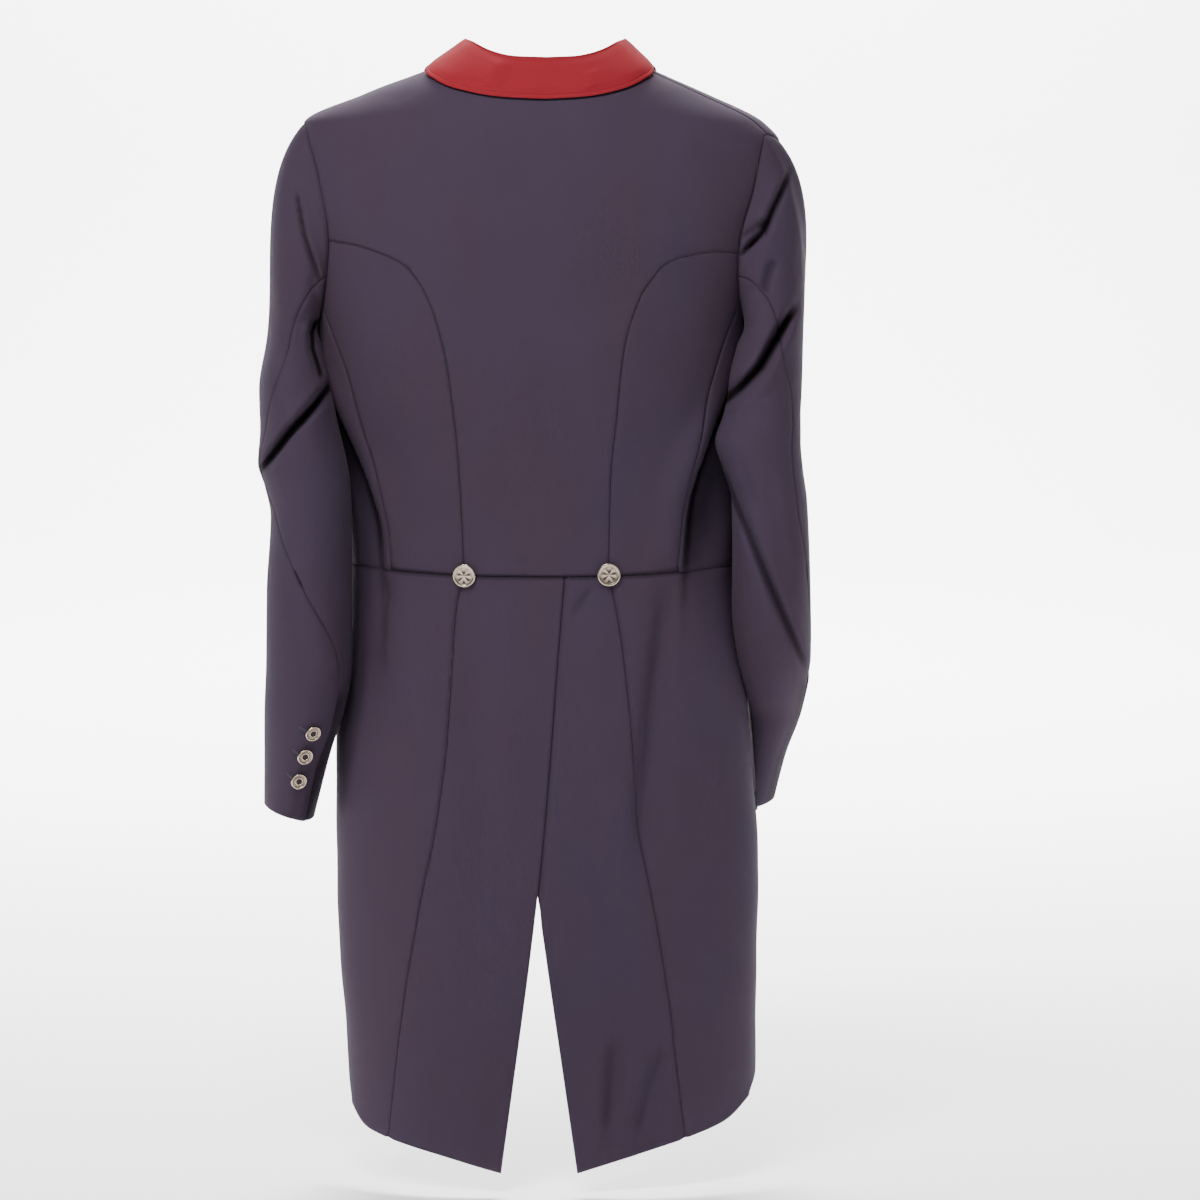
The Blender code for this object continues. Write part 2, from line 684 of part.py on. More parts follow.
def princess(side):
    """The seam from the waist up to the turn, and from the turn to the armhole."""
    upright = ends_at_waist(on_body(along(PRINCESS_UPRIGHT[side], PRINCESS_ROWS)))
    end = armhole(side, ARM_TURNS[side][1])
    top = on_body(along(PRINCESS_TOP[side], PRINCESS_STEPS * 3))
    shares = np.linspace(0, 1, len(top))[:, None] ** 2
    top = top + shares * (end - top[-1])
    return upright, top[::3]


def side_seam(side):
    """The seam from the waist to the armhole."""
    end = armhole(side, ARM_TURNS[side][3])
    seam = on_body(along(SIDE_SEAM[side], SIDE_ROWS * 3))
    shares = np.linspace(0, 1, len(seam))[:, None] ** 3
    seam = seam + shares * (end - seam[-1])
    return ends_at_waist(seam[::3])


def shoulder_seam(side):
    """The seam from the tip of the shoulder to the neck."""
    sign = 1 if side == "left" else -1
    angle = sign * SHOULDER_SEAM[side]
    heights = np.linspace(ARMHOLE_TOP_Z[side], neck_z(angle), SHOULDER_STEPS + 1)
    return np.stack([np.full(len(heights), angle), heights], axis=-1)


def at_armhole(side, grid, points, normals):
    """Swaps in the shared directions wherever a grid lies on the armhole seam."""
    for turn in ladder(ARM_TURNS[side], ARM_COUNTS):
        spot = armhole(side, turn)
        on_seam = np.linalg.norm(grid - spot, axis=-1) < CLOSE
        normals[on_seam] = armhole_directions(side, turn)
    return points, normals


def body_patch(grid, lift=None):
    points, normals = body_grid(grid, lift)
    for side in ("left", "right"):
        points, normals = at_armhole(side, grid, points, normals)
    return points, normals


def make_back(cloth):
    left_up, left_top = princess("left")
    right_up, right_top = princess("right")
    row = np.linspace(right_up[-1], left_up[-1], BACK_COLUMNS + 1)
    row[:, 1] += BACK_ROW_ARCH * np.sin(np.linspace(0, np.pi, BACK_COLUMNS + 1))
    low = coons(waist_between(right_up[0, 0], left_up[0, 0], BACK_COLUMNS), row, right_up, left_up)
    bottom = np.concatenate([right_top[::-1], row[1:-1], left_top])
    edges = []
    for side in ("right", "left"):
        arm = armhole(side, arm_turns(side, "tip", "princess"))[::-1]
        edges.append(np.concatenate([arm, shoulder_seam(side)[1:]]))
    angles = back_neck_angles()
    neck = np.stack([angles, neck_z(angles)], axis=-1)
    high = coons(bottom, neck, edges[0], edges[1])
    wall("back", [body_patch(low), body_patch(high)], cloth)


def make_side_back(side, cloth):
    upright, top = princess(side)
    seam = side_seam(side)
    arm = armhole(side, arm_turns(side, "princess", "side"))[::-1]
    outer = np.concatenate([seam, arm[1:]])
    bottom = waist_between(upright[0, 0], seam[0, 0], PRINCESS_STEPS)
    grid = coons(bottom, top, upright, outer)
    wall(f"side_back_{side}", [body_patch(grid)], cloth)


def roll_line(side, shares):
    """The line on which the lapel turns back, at shares of its way from the break to the neck edge."""
    sign = 1 if side == "left" else -1
    angle, height = NECK_LINE[-1]
    low = np.array((FRONT_EDGE_X[side], BREAK_Z[side]), float)
    high = np.array((body_point(sign * angle, height)[0], height))
    return low + (high - low) * np.asarray(shares, float)[:, None]


def front_lift(side):
    """The right front lies on the left one where they cross."""

    def lift(angle, height):
        if side == "left":
            return 0.0 * angle
        past = np.abs(angle) - 180
        below = step((FRONT_OVERLAP_TOP_Z - height) / FRONT_OVERLAP_FADE)
        return FRONT_OVERLAP_STEP * step((past + FRONT_OVERLAP_REACH) / FRONT_OVERLAP_SPREAD) * below

    return lift


def make_front(side, cloth):
    sign = 1 if side == "left" else -1
    seam = side_seam(side)
    heights = np.linspace(WAIST_Z - WAIST_POINT, BREAK_Z[side], FRONT_EDGE_ROWS + 1)
    edge = on_body(np.stack([np.full(len(heights), FRONT_EDGE_X[side]), heights], axis=-1), sign)
    roll = on_body(roll_line(side, ladder((0, 0.3, 1), (2, ROLL_STEPS))), sign)
    low_edge = np.concatenate([edge, roll[1:3]])
    arm_foot = armhole(side, arm_turns(side, "side", "chest"))
    shares = np.array(FRONT_SHARES)
    chest = arm_foot[-1] + shares[:, None] * (roll[2] - arm_foot[-1])
    corner = sign * TAIL_FRONT_ANGLE
    near_side = waist_between(seam[0, 0], corner, len(arm_foot) - 1)
    angles = corner + shares * (edge[0, 0] - corner)
    rest = np.stack([angles, waist_z(angles)], axis=-1)
    rest[-1] = edge[0]
    bottom = np.concatenate([near_side, rest[1:]])
    low = coons(bottom, np.concatenate([arm_foot, chest[1:]]), seam, low_edge)
    arm = armhole(side, arm_turns(side, "chest", "end"))
    top = shoulder_seam(side)
    angles = front_neck_angles(side)[1:]
    neck = np.stack([sign * angles, neck_z(angles)], axis=-1)
    high = coons(chest, top, arm, np.concatenate([roll[2:], neck]))
    lift = front_lift(side)
    wall(f"front_{side}", [body_patch(low, lift), body_patch(high, lift)], cloth)


def make_lapel(side, cloth):
    """The turned back part of the front: it lies on it, widest at the notch."""
    sign = 1 if side == "left" else -1
    foot = LAPEL_FOOT_Z[side]
    top_z = LAPEL_TOP[0][1]
    neck_z_low = NECK_LINE[-1][1]
    shares = (np.array((foot, top_z)) - BREAK_Z[side]) / (neck_z_low - BREAK_Z[side])
    inner = roll_line(side, np.linspace(shares[0], shares[1], LAPEL_ROWS + 1))
    flip = np.array((sign, 1.0))
    top = np.array(LAPEL_TOP, float) * flip
    top[0] = inner[-1]
    foot_out = inner[0] + flip * (LAPEL_FOOT_WIDTH, 0)
    outer = along(np.concatenate([[foot_out], (np.array(LAPEL_OUTER, float) * flip)[::-1]]), LAPEL_ROWS)
    bottom = np.linspace(inner[0], foot_out, len(top))
    grid = on_body(coons(bottom, top, inner, outer), sign)
    lift = front_lift(side)

    def raised(angle, height):
        return LAPEL_LIFT + lift(angle, height)

    wall(f"lapel_{side}", [body_grid(grid, raised)], cloth)


def collar_lines(angle):
    """The seam, the folded top and the falling edge at an angle of the neck edge. The seam stands
    on the neck edge, and the falling edge lies a little off the body."""
    rows = table(COLLAR_COLUMNS, COLLAR)
    sign = np.where(angle < 0, -1.0, 1.0)
    turn = np.abs(angle)
    height = neck_z(angle)
    middle = body_point(angle, height, -CLOTH / 2)
    inward = unit(body_point(angle, height + 1) - body_point(angle, height))
    fold_x, fold_y, fold_z, edge_angle, edge_z = (
        smooth(turn, rows["seam_angle"], rows[name]) for name in COLLAR_COLUMNS[1:]
    )
    fold = np.stack([sign * fold_x, fold_y, fold_z], axis=-1)
    edge_angle = sign * edge_angle
    edge = body_point(edge_angle, edge_z) + COLLAR_LIFT * surface_normals(body_point, edge_angle, edge_z)
    rise = unit(fold - middle)
    corner = np.linalg.norm(np.cross(rise, inward), axis=-1, keepdims=True)
    middle = middle + (COLLAR_GAP + CLOTH / 2 * corner) * inward
    around = unit(body_point(angle + 1, neck_z(angle + 1)) - body_point(angle - 1, neck_z(angle - 1)))
    seam = middle + CLOTH / 2 * unit(np.cross(around, rise))
    return seam, fold, edge


def collar_point(angle, way):
    """A point of the collar: way 0 to 1 stands up from the seam to the folded top, and 1 to 2
    falls from it, bowed out a little, with a round turn between them."""
    seam, fold, edge = collar_lines(angle)
    way = np.asarray(way)[..., None]
    up = np.clip(way, 0, 1)
    fall = np.clip(way - 1, 0, 1)
    point = seam + (fold - seam) * up + (edge - fold) * fall
    outward = unit((edge - seam) * np.array((1, 1, 0)))
    behind = (0.35 + 0.65 * step((80 - np.abs(angle)) / 45))[..., None]
    bow = COLLAR_BOW * behind * np.sin(np.pi * fall)
    bow = bow + COLLAR_ROLL * (0.8 + behind) * step(fall / 0.16) * (1 - step((fall - 0.7) / 0.3))
    rise = COLLAR_ROLL * np.exp(-(((way - 1.06) / 0.13) ** 2))
    return point + outward * bow + rise * np.array((0, 0, 1.0))


def front_neck_angles(side):
    """Where the front's neck edge has its points, from the roll line to the shoulder seam."""
    return np.linspace(NECK_LINE[-1][0], SHOULDER_SEAM[side], FRONT_NECK_STEPS + 1)


def back_neck_angles():
    return np.linspace(-SHOULDER_SEAM["right"], SHOULDER_SEAM["left"], NECK_COLUMNS + 1)


def make_collar(cloth):
    """The collar's columns stand on the points of the neck edge."""
    right = -front_neck_angles("right")[:-1]
    left = front_neck_angles("left")[::-1][1:]
    angles = np.concatenate([right, back_neck_angles(), left])[None, :]
    ways = np.array(COLLAR_WAYS)[:, None]
    angle, way = np.broadcast_arrays(angles, ways)
    one = collar_point(angle + 0.5, way) - collar_point(angle - 0.5, way)
    two = collar_point(angle, way + 0.01) - collar_point(angle, way - 0.01)
    wall("collar", [(collar_point(angle, way), unit(np.cross(one, two)))], cloth)


def tail_lift(side):
    """The right tail lies under the left one where they lap at the vent."""

    def lift(angle, height):
        if side == "left":
            return 0.0 * angle
        x = body_point(angle, height)[..., 0]
        edge = smooth(height, [z for _, z in VENT_EDGE["left"]], [x for x, _ in VENT_EDGE["left"]])
        return -UNDERLAP_STEP * step((x - edge + UNDERLAP_REACH) / UNDERLAP_SPREAD)

    return lift


def make_tail_back(side, cloth):
    pleat = ends_at_waist(on_body(along(PLEAT_SEAM[side], TAIL_ROWS)))
    vent = ends_at_waist(on_body(along(VENT_EDGE[side], TAIL_ROWS)))
    columns = TAIL_BACK_COLUMNS[side]
    top = waist_between(vent[0, 0], pleat[0, 0], columns)
    hem = on_body(along(HEM[side][:3], columns))
    hem[-1] = pleat[-1]
    hem[0] = vent[-1]
    grid = coons(top, hem, vent, pleat)
    wall(f"tail_back_{side}", [body_grid(grid, tail_lift(side))], cloth)


def make_tail_side(side, cloth):
    sign = 1 if side == "left" else -1
    pleat = ends_at_waist(on_body(along(PLEAT_SEAM[side], TAIL_ROWS)))
    hem = on_body(along(HEM[side][2:], TAIL_SIDE_COLUMNS))
    hem[0] = pleat[-1]
    corner = hem[-1]
    rise = np.linspace(0, 1, TAIL_ROWS + 1)
    heights = corner[1] + (waist_z(TAIL_FRONT_ANGLE) - corner[1]) * rise
    turned = step((heights - corner[1]) / (TAIL_CORNER_Z - corner[1]))
    angles = np.abs(corner[0]) + (TAIL_CORNER_ANGLE - np.abs(corner[0])) * turned
    above = (heights - TAIL_CORNER_Z) / (heights[-1] - TAIL_CORNER_Z)
    angles += (TAIL_FRONT_ANGLE - TAIL_CORNER_ANGLE) * np.clip(above, 0, 1) ** 2
    front = np.stack([sign * angles, heights], axis=-1)[::-1]
    top = waist_between(pleat[0, 0], sign * TAIL_FRONT_ANGLE, TAIL_SIDE_COLUMNS)
    grid = coons(top, hem, pleat, front)
    wall(f"tail_side_{side}", [body_grid(grid)], cloth)


def sleeve_patch(side, turns, ways, seams):
    """A grid between two seams of the sleeve, whose columns keep their share of the way between
    them, with the armhole's shared directions on its first row."""
    share = (turns - turns[0]) / (turns[-1] - turns[0])
    first, last = seams
    turn = first[:, None] + (last - first)[:, None] * share[None, :]
    turn[0] = turns
    way = np.broadcast_to(ways[:, None], turn.shape)

    def at(a, w):
        return sleeve_point(side, a, w)

    near = 0.02
    one = at(turn + 1.0, way) - at(turn - 1.0, way)
    two = at(turn, way + near) - at(turn, way - near)
    sign = 1 if side == "left" else -1
    normals = sign * unit(np.cross(two, one))
    normals[0] = armhole_directions(side, turns)
    return at(turn, way), normals


def make_sleeve(side, cloth):
    ways = ladder(SLEEVE_BREAKS, SLEEVE_ROWS)
    hind = seam_turn(side, ways)
    hind[0] = ARM_TURNS[side][2]
    fore = np.full(len(ways), float(FORE_SEAM_ANGLE))
    under = arm_turns(side, "hind", "fore")
    wall(f"under_sleeve_{side}", [sleeve_patch(side, under, ways, (hind, fore))], cloth)
    upper = np.concatenate([arm_turns(side, "fore", "end") - 360, arm_turns(side, "tip", "hind")[1:]])
    wall(f"upper_sleeve_{side}", [sleeve_patch(side, upper, ways, (fore - 360, hind))], cloth)


def make_button(name, place, facing, size, metal):
    """A low turned button: a flat back, a round rim and a shallow dished face."""
    aside = unit(np.cross(facing, (0, 0, 1.0)))
    upward = np.cross(aside, facing)
    turns = np.linspace(0, 2 * np.pi, BUTTON_SIDES, endpoint=False)
    ring = np.cos(turns)[:, None] * aside + np.sin(turns)[:, None] * upward
    points = [place]
    for share, height in BUTTON_PROFILE:
        points.extend(place + size["radius"] * share * ring + size["thick"] * height * facing)
    points.append(place + size["thick"] * BUTTON_DISH * facing)
    count, last = len(turns), len(points) - 1
    faces = []
    for i in range(count):
        j = (i + 1) % count
        faces.append((0, 1 + i, 1 + j))
        for level in range(len(BUTTON_PROFILE) - 1):
            low = 1 + level * count
            faces.append((low + i, low + count + i, low + count + j, low + j))
        top = 1 + (len(BUTTON_PROFILE) - 1) * count
        faces.append((top + i, last, top + j))
    return make_object(name, np.array(points), faces, metal)


def make_buttons(metal):
    size = TAIL_BUTTON
    for side, (x, height) in zip(("left", "right"), size["places"]):
        points, normals = body_grid(on_body(np.array([[x, height]], float)))
        place = points[0] + TAIL_BUTTON_GAP * normals[0]
        make_button(f"tail_button_{side}", place, normals[0], size, metal)
    size = CUFF_BUTTON
    for side in ("left", "right"):
        sign = 1 if side == "left" else -1
        for number, (height, gap) in enumerate(CUFF_BUTTON_ROWS[side], 1):
            way = np.array([1 + (height - BICEPS_Z) / (CUFF_Z[side] - BICEPS_Z)])
            turn = seam_turn(side, way) - CUFF_BUTTON_TURN[side]
            place = sleeve_point(side, turn, way)[0]
            one = sleeve_point(side, turn + 1, way)[0] - sleeve_point(side, turn - 1, way)[0]
            two = sleeve_point(side, turn, way + 0.02)[0] - sleeve_point(side, turn, way - 0.02)[0]
            facing = sign * unit(np.cross(two, one))
            name = f"cuff_button_{side}_{number}"
            make_button(name, place + gap * facing, facing, size, metal)
    size = FRONT_BUTTON
    for number, (height, gap) in enumerate(size["rows"], 1):
        spot = on_body(np.array([[size["x"], height]], float), -1)
        points, normals = body_grid(spot, front_lift("right"))
        place = points[0] + gap * normals[0]
        make_button(f"front_button_{number}", place, normals[0], size, metal)


def main():
    for obj in list(bpy.data.objects):
        bpy.data.objects.remove(obj)
    cloth = make_material("coat_cloth", (0.085, 0.068, 0.100), 0.72)
    red = make_material("collar_cloth", (0.42, 0.030, 0.042), 0.6)
    metal = make_material("button_metal", (0.62, 0.56, 0.52), 0.32, 1.0)
    make_back(cloth)
    make_collar(red)
    for side in ("left", "right"):
        make_side_back(side, cloth)
        make_front(side, cloth)
        make_lapel(side, cloth)
        make_tail_back(side, cloth)
        make_tail_side(side, cloth)
        make_sleeve(side, cloth)
    make_buttons(metal)


main()
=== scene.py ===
# %% [markdown]
# A dressage tailcoat, seen from behind and filled out as if it were worn. The plain solids of the coat
# are already drawn, and they are loaded first as a fixed frame. This lesson makes the fine cloth, the
# stitching and the buttons that are seen in place of them. Every panel could be modelled by hand and
# sculpted; here each one is a formula on a grid of numbers, so that two panels that share a seam
# share its points too. Lengths are in millimetres until a mesh is made.

# %% Load the frame
from functools import partial

import bpy
import numpy as np
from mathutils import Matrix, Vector


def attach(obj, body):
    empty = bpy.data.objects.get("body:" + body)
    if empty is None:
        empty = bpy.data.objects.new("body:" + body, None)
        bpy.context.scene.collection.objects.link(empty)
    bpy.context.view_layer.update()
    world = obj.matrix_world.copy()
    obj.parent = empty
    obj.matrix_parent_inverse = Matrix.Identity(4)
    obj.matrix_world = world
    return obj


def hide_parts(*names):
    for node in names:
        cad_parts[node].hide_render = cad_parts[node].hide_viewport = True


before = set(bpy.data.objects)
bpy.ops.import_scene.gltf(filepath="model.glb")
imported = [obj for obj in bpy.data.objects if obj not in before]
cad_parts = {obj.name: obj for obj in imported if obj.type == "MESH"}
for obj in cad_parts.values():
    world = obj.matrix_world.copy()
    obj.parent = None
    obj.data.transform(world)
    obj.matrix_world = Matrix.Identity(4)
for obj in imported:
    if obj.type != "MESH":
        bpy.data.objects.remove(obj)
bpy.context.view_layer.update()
# MM turns millimetres into metres, CLOTH is how thick the solids' walls are, and two points that
# are nearer than CLOSE are one.
MM = 0.001
CLOTH = 2.0
CLOSE = 1e-4
SIDES = ("left", "right")
SIGN = {"left": 1, "right": -1}

# %% [markdown]
# The camera stands 4.5 m behind the coat, a little above its middle, with a long lens. A long lens
# far away keeps the proportions of the cut, as a tailor's photographs do.

# %% Camera
def placed(name, data):
    """A new object for the data, linked to the scene."""
    obj = bpy.data.objects.new(name, data)
    bpy.context.scene.collection.objects.link(obj)
    return obj


def aimed(place, aim):
    """The turn with which a camera or a lamp at the place looks at the aim."""
    return (Vector(aim) - Vector(place)).to_track_quat("-Z", "Y").to_euler()


CAMERA_PLACE = (-0.0484, 4.5, -0.007)
CAMERA_AIM = (-0.0484, 0.09, -0.4827)
SENSOR = 36
PICTURE_PIXELS = 1200
FOCAL_PIXELS = 5045
camera = placed("camera", bpy.data.cameras.new("camera"))
camera.location = CAMERA_PLACE
camera.rotation_euler = aimed(CAMERA_PLACE, CAMERA_AIM)
camera.data.sensor_width = SENSOR
camera.data.lens = FOCAL_PIXELS / PICTURE_PIXELS * SENSOR
bpy.context.scene.camera = camera
print("lens:", round(camera.data.lens, 1))

# %% [markdown]
# Small tools come first. A curve through a table of places must not swing past its values, or a
# waist would bulge between two sections; a cubic with careful slopes does that. A soft step, from 0
# to 1, fades one shape into another. Blender's own curves could do this, but arrays are quicker.

# %% Curves through tables
def smooth(at, places, values):
    """A curve through a table that doesn't swing past its values: cubic pieces whose slope at a
    row is the harmonic mean of the slopes beside it, or 0 where they differ in sign."""
    order = np.argsort(places)
    places = np.asarray(places, float)[order]
    values = np.asarray(values, float)[order]
    run = np.diff(places)
    rise = np.diff(values) / run
    before, after = rise[:-1], rise[1:]
    same = before * after > 0
    mean = np.where(same, 2 * before * after / np.where(same, before + after, 1), 0)
    slope = np.concatenate([rise[:1], mean, rise[-1:]])
    at = np.clip(at, places[0], places[-1])
    i = np.clip(np.searchsorted(places, at) - 1, 0, len(run) - 1)
    t = (at - places[i]) / run[i]
    start = (1 + 2 * t) * (1 - t) ** 2 * values[i] + t * (1 - t) ** 2 * run[i] * slope[i]
    end = t**2 * (3 - 2 * t) * values[i + 1] - t**2 * (1 - t) * run[i] * slope[i + 1]
    return start + end


def columns(table, at, *which):
    """The curves through some columns of a table, whose first column says where its rows are."""
    rows = np.array(table, float).T
    return [smooth(at, rows[0], rows[i]) for i in which]


def step(value):
    """0 below 0, 1 above 1 and a soft S between."""
    value = np.clip(value, 0, 1)
    return value * value * (3 - 2 * value)


def unit(vectors):
    """The same directions with a length of 1."""
    return vectors / np.maximum(np.linalg.norm(vectors, axis=-1, keepdims=True), 1e-9)


# %% [markdown]
# A panel of cloth is bounded by seams. A seam is a line of points spread evenly by length, and the
# panel's grid fills the space inside four such lines. This filling is called a Coons patch: it rules
# the panel both ways, adds the two, and takes away what was counted twice.

# %% Seams and the panels between them
def ladder(breaks, counts):
    """Values from one break to the next, each stretch divided evenly."""
    parts = [np.linspace(a, b, n, endpoint=False) for a, b, n in zip(breaks, breaks[1:], counts)]
    return np.concatenate(parts + [[breaks[-1]]])


def way_along(points):
    """How far along a line each of its points is, from 0 at the first."""
    return np.concatenate([[0], np.cumsum(np.linalg.norm(np.diff(points, axis=0), axis=1))])


def along(points, count):
    """count + 1 points spread evenly by length on a smooth curve through the given ones."""
    points = np.asarray(points, float)
    way = way_along(points)
    fine = np.linspace(0, way[-1], 200)
    curve = np.stack([smooth(fine, way, axis) for axis in points.T], axis=1)
    real = way_along(curve)
    at = np.linspace(0, real[-1], count + 1)
    return np.stack([np.interp(at, real, axis) for axis in curve.T], axis=1)


def progress(edge):
    """The share of an edge's length at each of its points, from 0 to 1."""
    way = way_along(edge)
    return way / way[-1]


def coons(bottom, top, first, last):
    """A grid that fills the space inside four edges: the two ways of ruling it added, less the
    grid that its corners alone would make. Rows run from bottom to top."""
    across = ((progress(bottom) + progress(top)) / 2)[None, :, None]
    up = ((progress(first) + progress(last)) / 2)[:, None, None]
    ruled = (1 - up) * bottom + up * top + (1 - across) * first[:, None] + across * last[:, None]
    corners = (1 - up) * ((1 - across) * bottom[0] + across * bottom[-1])
    return ruled - corners - up * ((1 - across) * top[0] + across * top[-1])


def evened(grid, rounds=60):
    """The same grid with its inner points moved, round by round, to the middle of their four
    neighbours, so that rows that crowd together at an edge don't fold over inside."""
    for _ in range(rounds):
        beside = grid[1:-1, :-2] + grid[1:-1, 2:] + grid[:-2, 1:-1] + grid[2:, 1:-1]
        grid[1:-1, 1:-1] = beside / 4
    return grid


# %% [markdown]
# A crease in cloth is a trough with a soft ridge beside it. Its line is placed from what the
# real coat shows, and the trough fades at both ends. A deep crease looks black, because light hardly
# gets in. The cloth's mesh therefore carries a number from 0 to 1 at each point, its shade, which
# the dye reads: 1 at the bottom of a deep crease and in a seam, and 0 on open cloth.

# %% Creases
def beside_line(x, z, line):
    """For places on the cloth, seen as (x, z): how far each is from the line, the same with the
    side that it is on, and its share of the way along."""
    line = np.asarray(line, float)
    lengths = np.linalg.norm(np.diff(line, axis=0), axis=1)
    starts = np.concatenate([[0], np.cumsum(lengths)])
    nearest = np.full(np.shape(x), np.inf)
    offset, share = np.zeros(np.shape(x)), np.zeros(np.shape(x))
    for (ax, az), (bx, bz), length, start in zip(line, line[1:], lengths, starts):
        dx, dz = (bx - ax) / length, (bz - az) / length
        t = np.clip((x - ax) * dx + (z - az) * dz, 0, length)
        away = np.hypot(x - ax - t * dx, z - az - t * dz)
        closer = away < nearest
        nearest = np.where(closer, away, nearest)
        offset = np.where(closer, np.sign((x - ax) * dz - (z - az) * dx) * away, offset)
        share = np.where(closer, (start + t) / starts[-1], share)
    return nearest, offset, share


def ends_fade(share, part):
    """1 along a line and 0 at its ends, with a soft step over a part of the line at each end."""
    return step(share / part) * step((1 - share) / part)


def crease(x, z, line, depth, width, ridge):
    """How far a fold moves the cloth: a trough along its line that fades at its ends, with a
    ridge on its upper or outer side, or on the other one where the ridge is negative."""
    nearest, offset, share = beside_line(x, z, line)
    fade = ends_fade(share, 0.22) * 0.85 + 0.15 * (nearest < 2 * width)
    side = (np.sign(line[-1][0] - line[0][0]) or 1) * (np.sign(ridge) or 1)
    trough = -depth * np.exp(-((nearest / width) ** 2))
    crest = np.abs(ridge) * np.exp(-(((side * offset + 1.9 * width) / (1.3 * width)) ** 2))
    return fade * (trough + crest)


def hollow_shade(points, normals, hollows):
    """How much painted shade each point gets, from hollows that each have a facing (1 is the back of
    the coat), a half width, a shade and a line: full inside the half width, and fading at the line's ends."""
    dark = np.zeros(len(points))
    for facing, half, amount, line in hollows:
        nearest, _, share = beside_line(points[:, 0], points[:, 2], line)
        fade = ends_fade(share, 0.12) * (facing * normals[:, 1] > -0.2)
        dark = np.maximum(dark, amount * fade * step((1.5 * half - nearest) / half))
    return dark


# %% [markdown]
# The coat has no body in it, but it keeps one's shape: squared ovals, one for each height, with their
# own depth in front and behind. Both halves differ a little, because the coat hangs unevenly.

# %% The body's sections
# Each row is a height, how far the coat reaches to the left and to the right there, the y of that
# widest place, and the y of the back and of the front.
BODY_RINGS = (
    (12, 36, 33, 0, 20, -19), (-3, 66, 61, 0, 37, -36), (-20, 106, 97, 0, 51, -51),
    (-40, 160, 142, 1, 66, -69), (-66, 214, 194, 3, 80, -84), (-84, 217, 208, 3, 86, -92),
    (-120, 215, 204, 2, 95, -106), (-170, 209, 190, 0, 103, -122), (-245, 206, 180, -4, 104, -134),
    (-300, 204, 180, -8, 98, -132), (-370, 185, 177, -16, 86, -120), (-430, 178, 175, -20, 77, -110),
    (-470, 176, 173, -20, 75, -106), (-540, 178, 177, -12, 84, -108), (-620, 189, 184, -10, 95, -110),
    (-720, 190, 191, -10, 102, -112), (-880, 182, 190, -10, 106, -112),
    (-1010, 176, 190, -10, 106, -112),
)
SQUARENESS = 2.3


def body_half(height, positive):
    """The half width of the section at a height, on the wearer's left or right."""
    return np.where(positive, *columns(BODY_RINGS, height, 1, 2))


def body_angle(x, height, front=0):
    """The angle at which the surface has this x: on the back, or on the front of the left (1) or
    the right (-1) panel, whose angles run on past the middle of the front."""
    x = np.asarray(x, float)
    share = np.clip(np.abs(x) / body_half(height, x >= 0), 0, 1)
    angle = np.degrees(np.arcsin(share ** (SQUARENESS / 2))) * np.sign(x)
    return angle if front == 0 else front * 180 - angle


def on_body(points, front=0):
    """Points given as (x, height) turned into (angle, height)."""
    points = np.asarray(points, float)
    return np.stack([body_angle(points[..., 0], points[..., 1], front), points[..., 1]], axis=-1)


# %% [markdown]
# Below each arm the back swells over the side and the cloth drops into a deep fold, which runs from
# the armhole down to the waist. Softer folds run down the tails and up from their hems.

# %% The body's folds
# Each row is a height, the x of the fold's line on the left and on the right, and both depths.
SIDE_FOLD = (
    (-560, 138, 117, 0, 0), (-470, 142, 121, 4, 4), (-425, 145, 124, 11, 13), (-396, 152, 128, 14, 18),
    (-348, 171, 143, 14, 21), (-298, 193, 163, 6, 5), (-250, 203, 176, 0, 0),
)
SIDE_FOLD_HOLD = {"left": 4, "right": 10}
SIDE_FOLD_FADE = 18
# Painted shade beyond the side fold: how much at each height, and how much of it reaches past the fold's
# dark band on each side.
SIDE_SHADE = ((-560, 0), (-480, 0.3), (-440, 0.8), (-396, 1), (-348, 1), (-315, 0.8), (-285, 0))
SIDE_SHADE_MOST = {"left": 0.1, "right": 0.3}
BODY_FOLDS = (
    # A drape and a ridge of the right tail, the same of the left one, and a crease at its side.
    (9, 13, 4, ((-112, -455), (-108, -510), (-102, -560), (-96, -615), (-91, -670), (-92, -730))),
    (-3, 18, 0, ((-48, -480), (-50, -560), (-44, -660))),
    (4, 16, 1, ((67, -500), (60, -620), (54, -780))),
    (-3, 18, 0, ((128, -480), (126, -560), (118, -660))),
    (4, 10, 1, ((142, -462), (150, -500), (160, -560))),
    # Two folds that run up from the right tail's hem.
    (5, 8, 3, ((-58, -965), (-61, -925), (-64, -868))),
    (5, 8, 3, ((-84, -965), (-98, -906), (-110, -878))),
    # A drag from the right tail's button.
    (2.2, 4.5, 1, ((-46, -470), (-36, -484), (-24, -502))),
)


def side_fold(angle, height):
    """The step beside the back's swell: nothing inside the fold's line, and beyond it a drop
    that the cloth makes up again towards the front."""
    left_x, right_x, left_depth, right_depth = columns(SIDE_FOLD, height, 1, 2, 3, 4)
    depth = np.where(angle >= 0, left_depth, right_depth)
    line = np.abs(body_angle(np.where(angle >= 0, left_x, -right_x), height))
    beyond = np.abs(angle) - line
    hold = np.where(angle >= 0, SIDE_FOLD_HOLD["left"], SIDE_FOLD_HOLD["right"])
    drop = step((beyond + 1) / 4.5) * (1 - step((beyond - hold) / SIDE_FOLD_FADE))
    swell = 0.3 * np.exp(-(((beyond + 6) / 6) ** 2))
    return depth * (swell - drop) * (np.abs(angle) < 175)


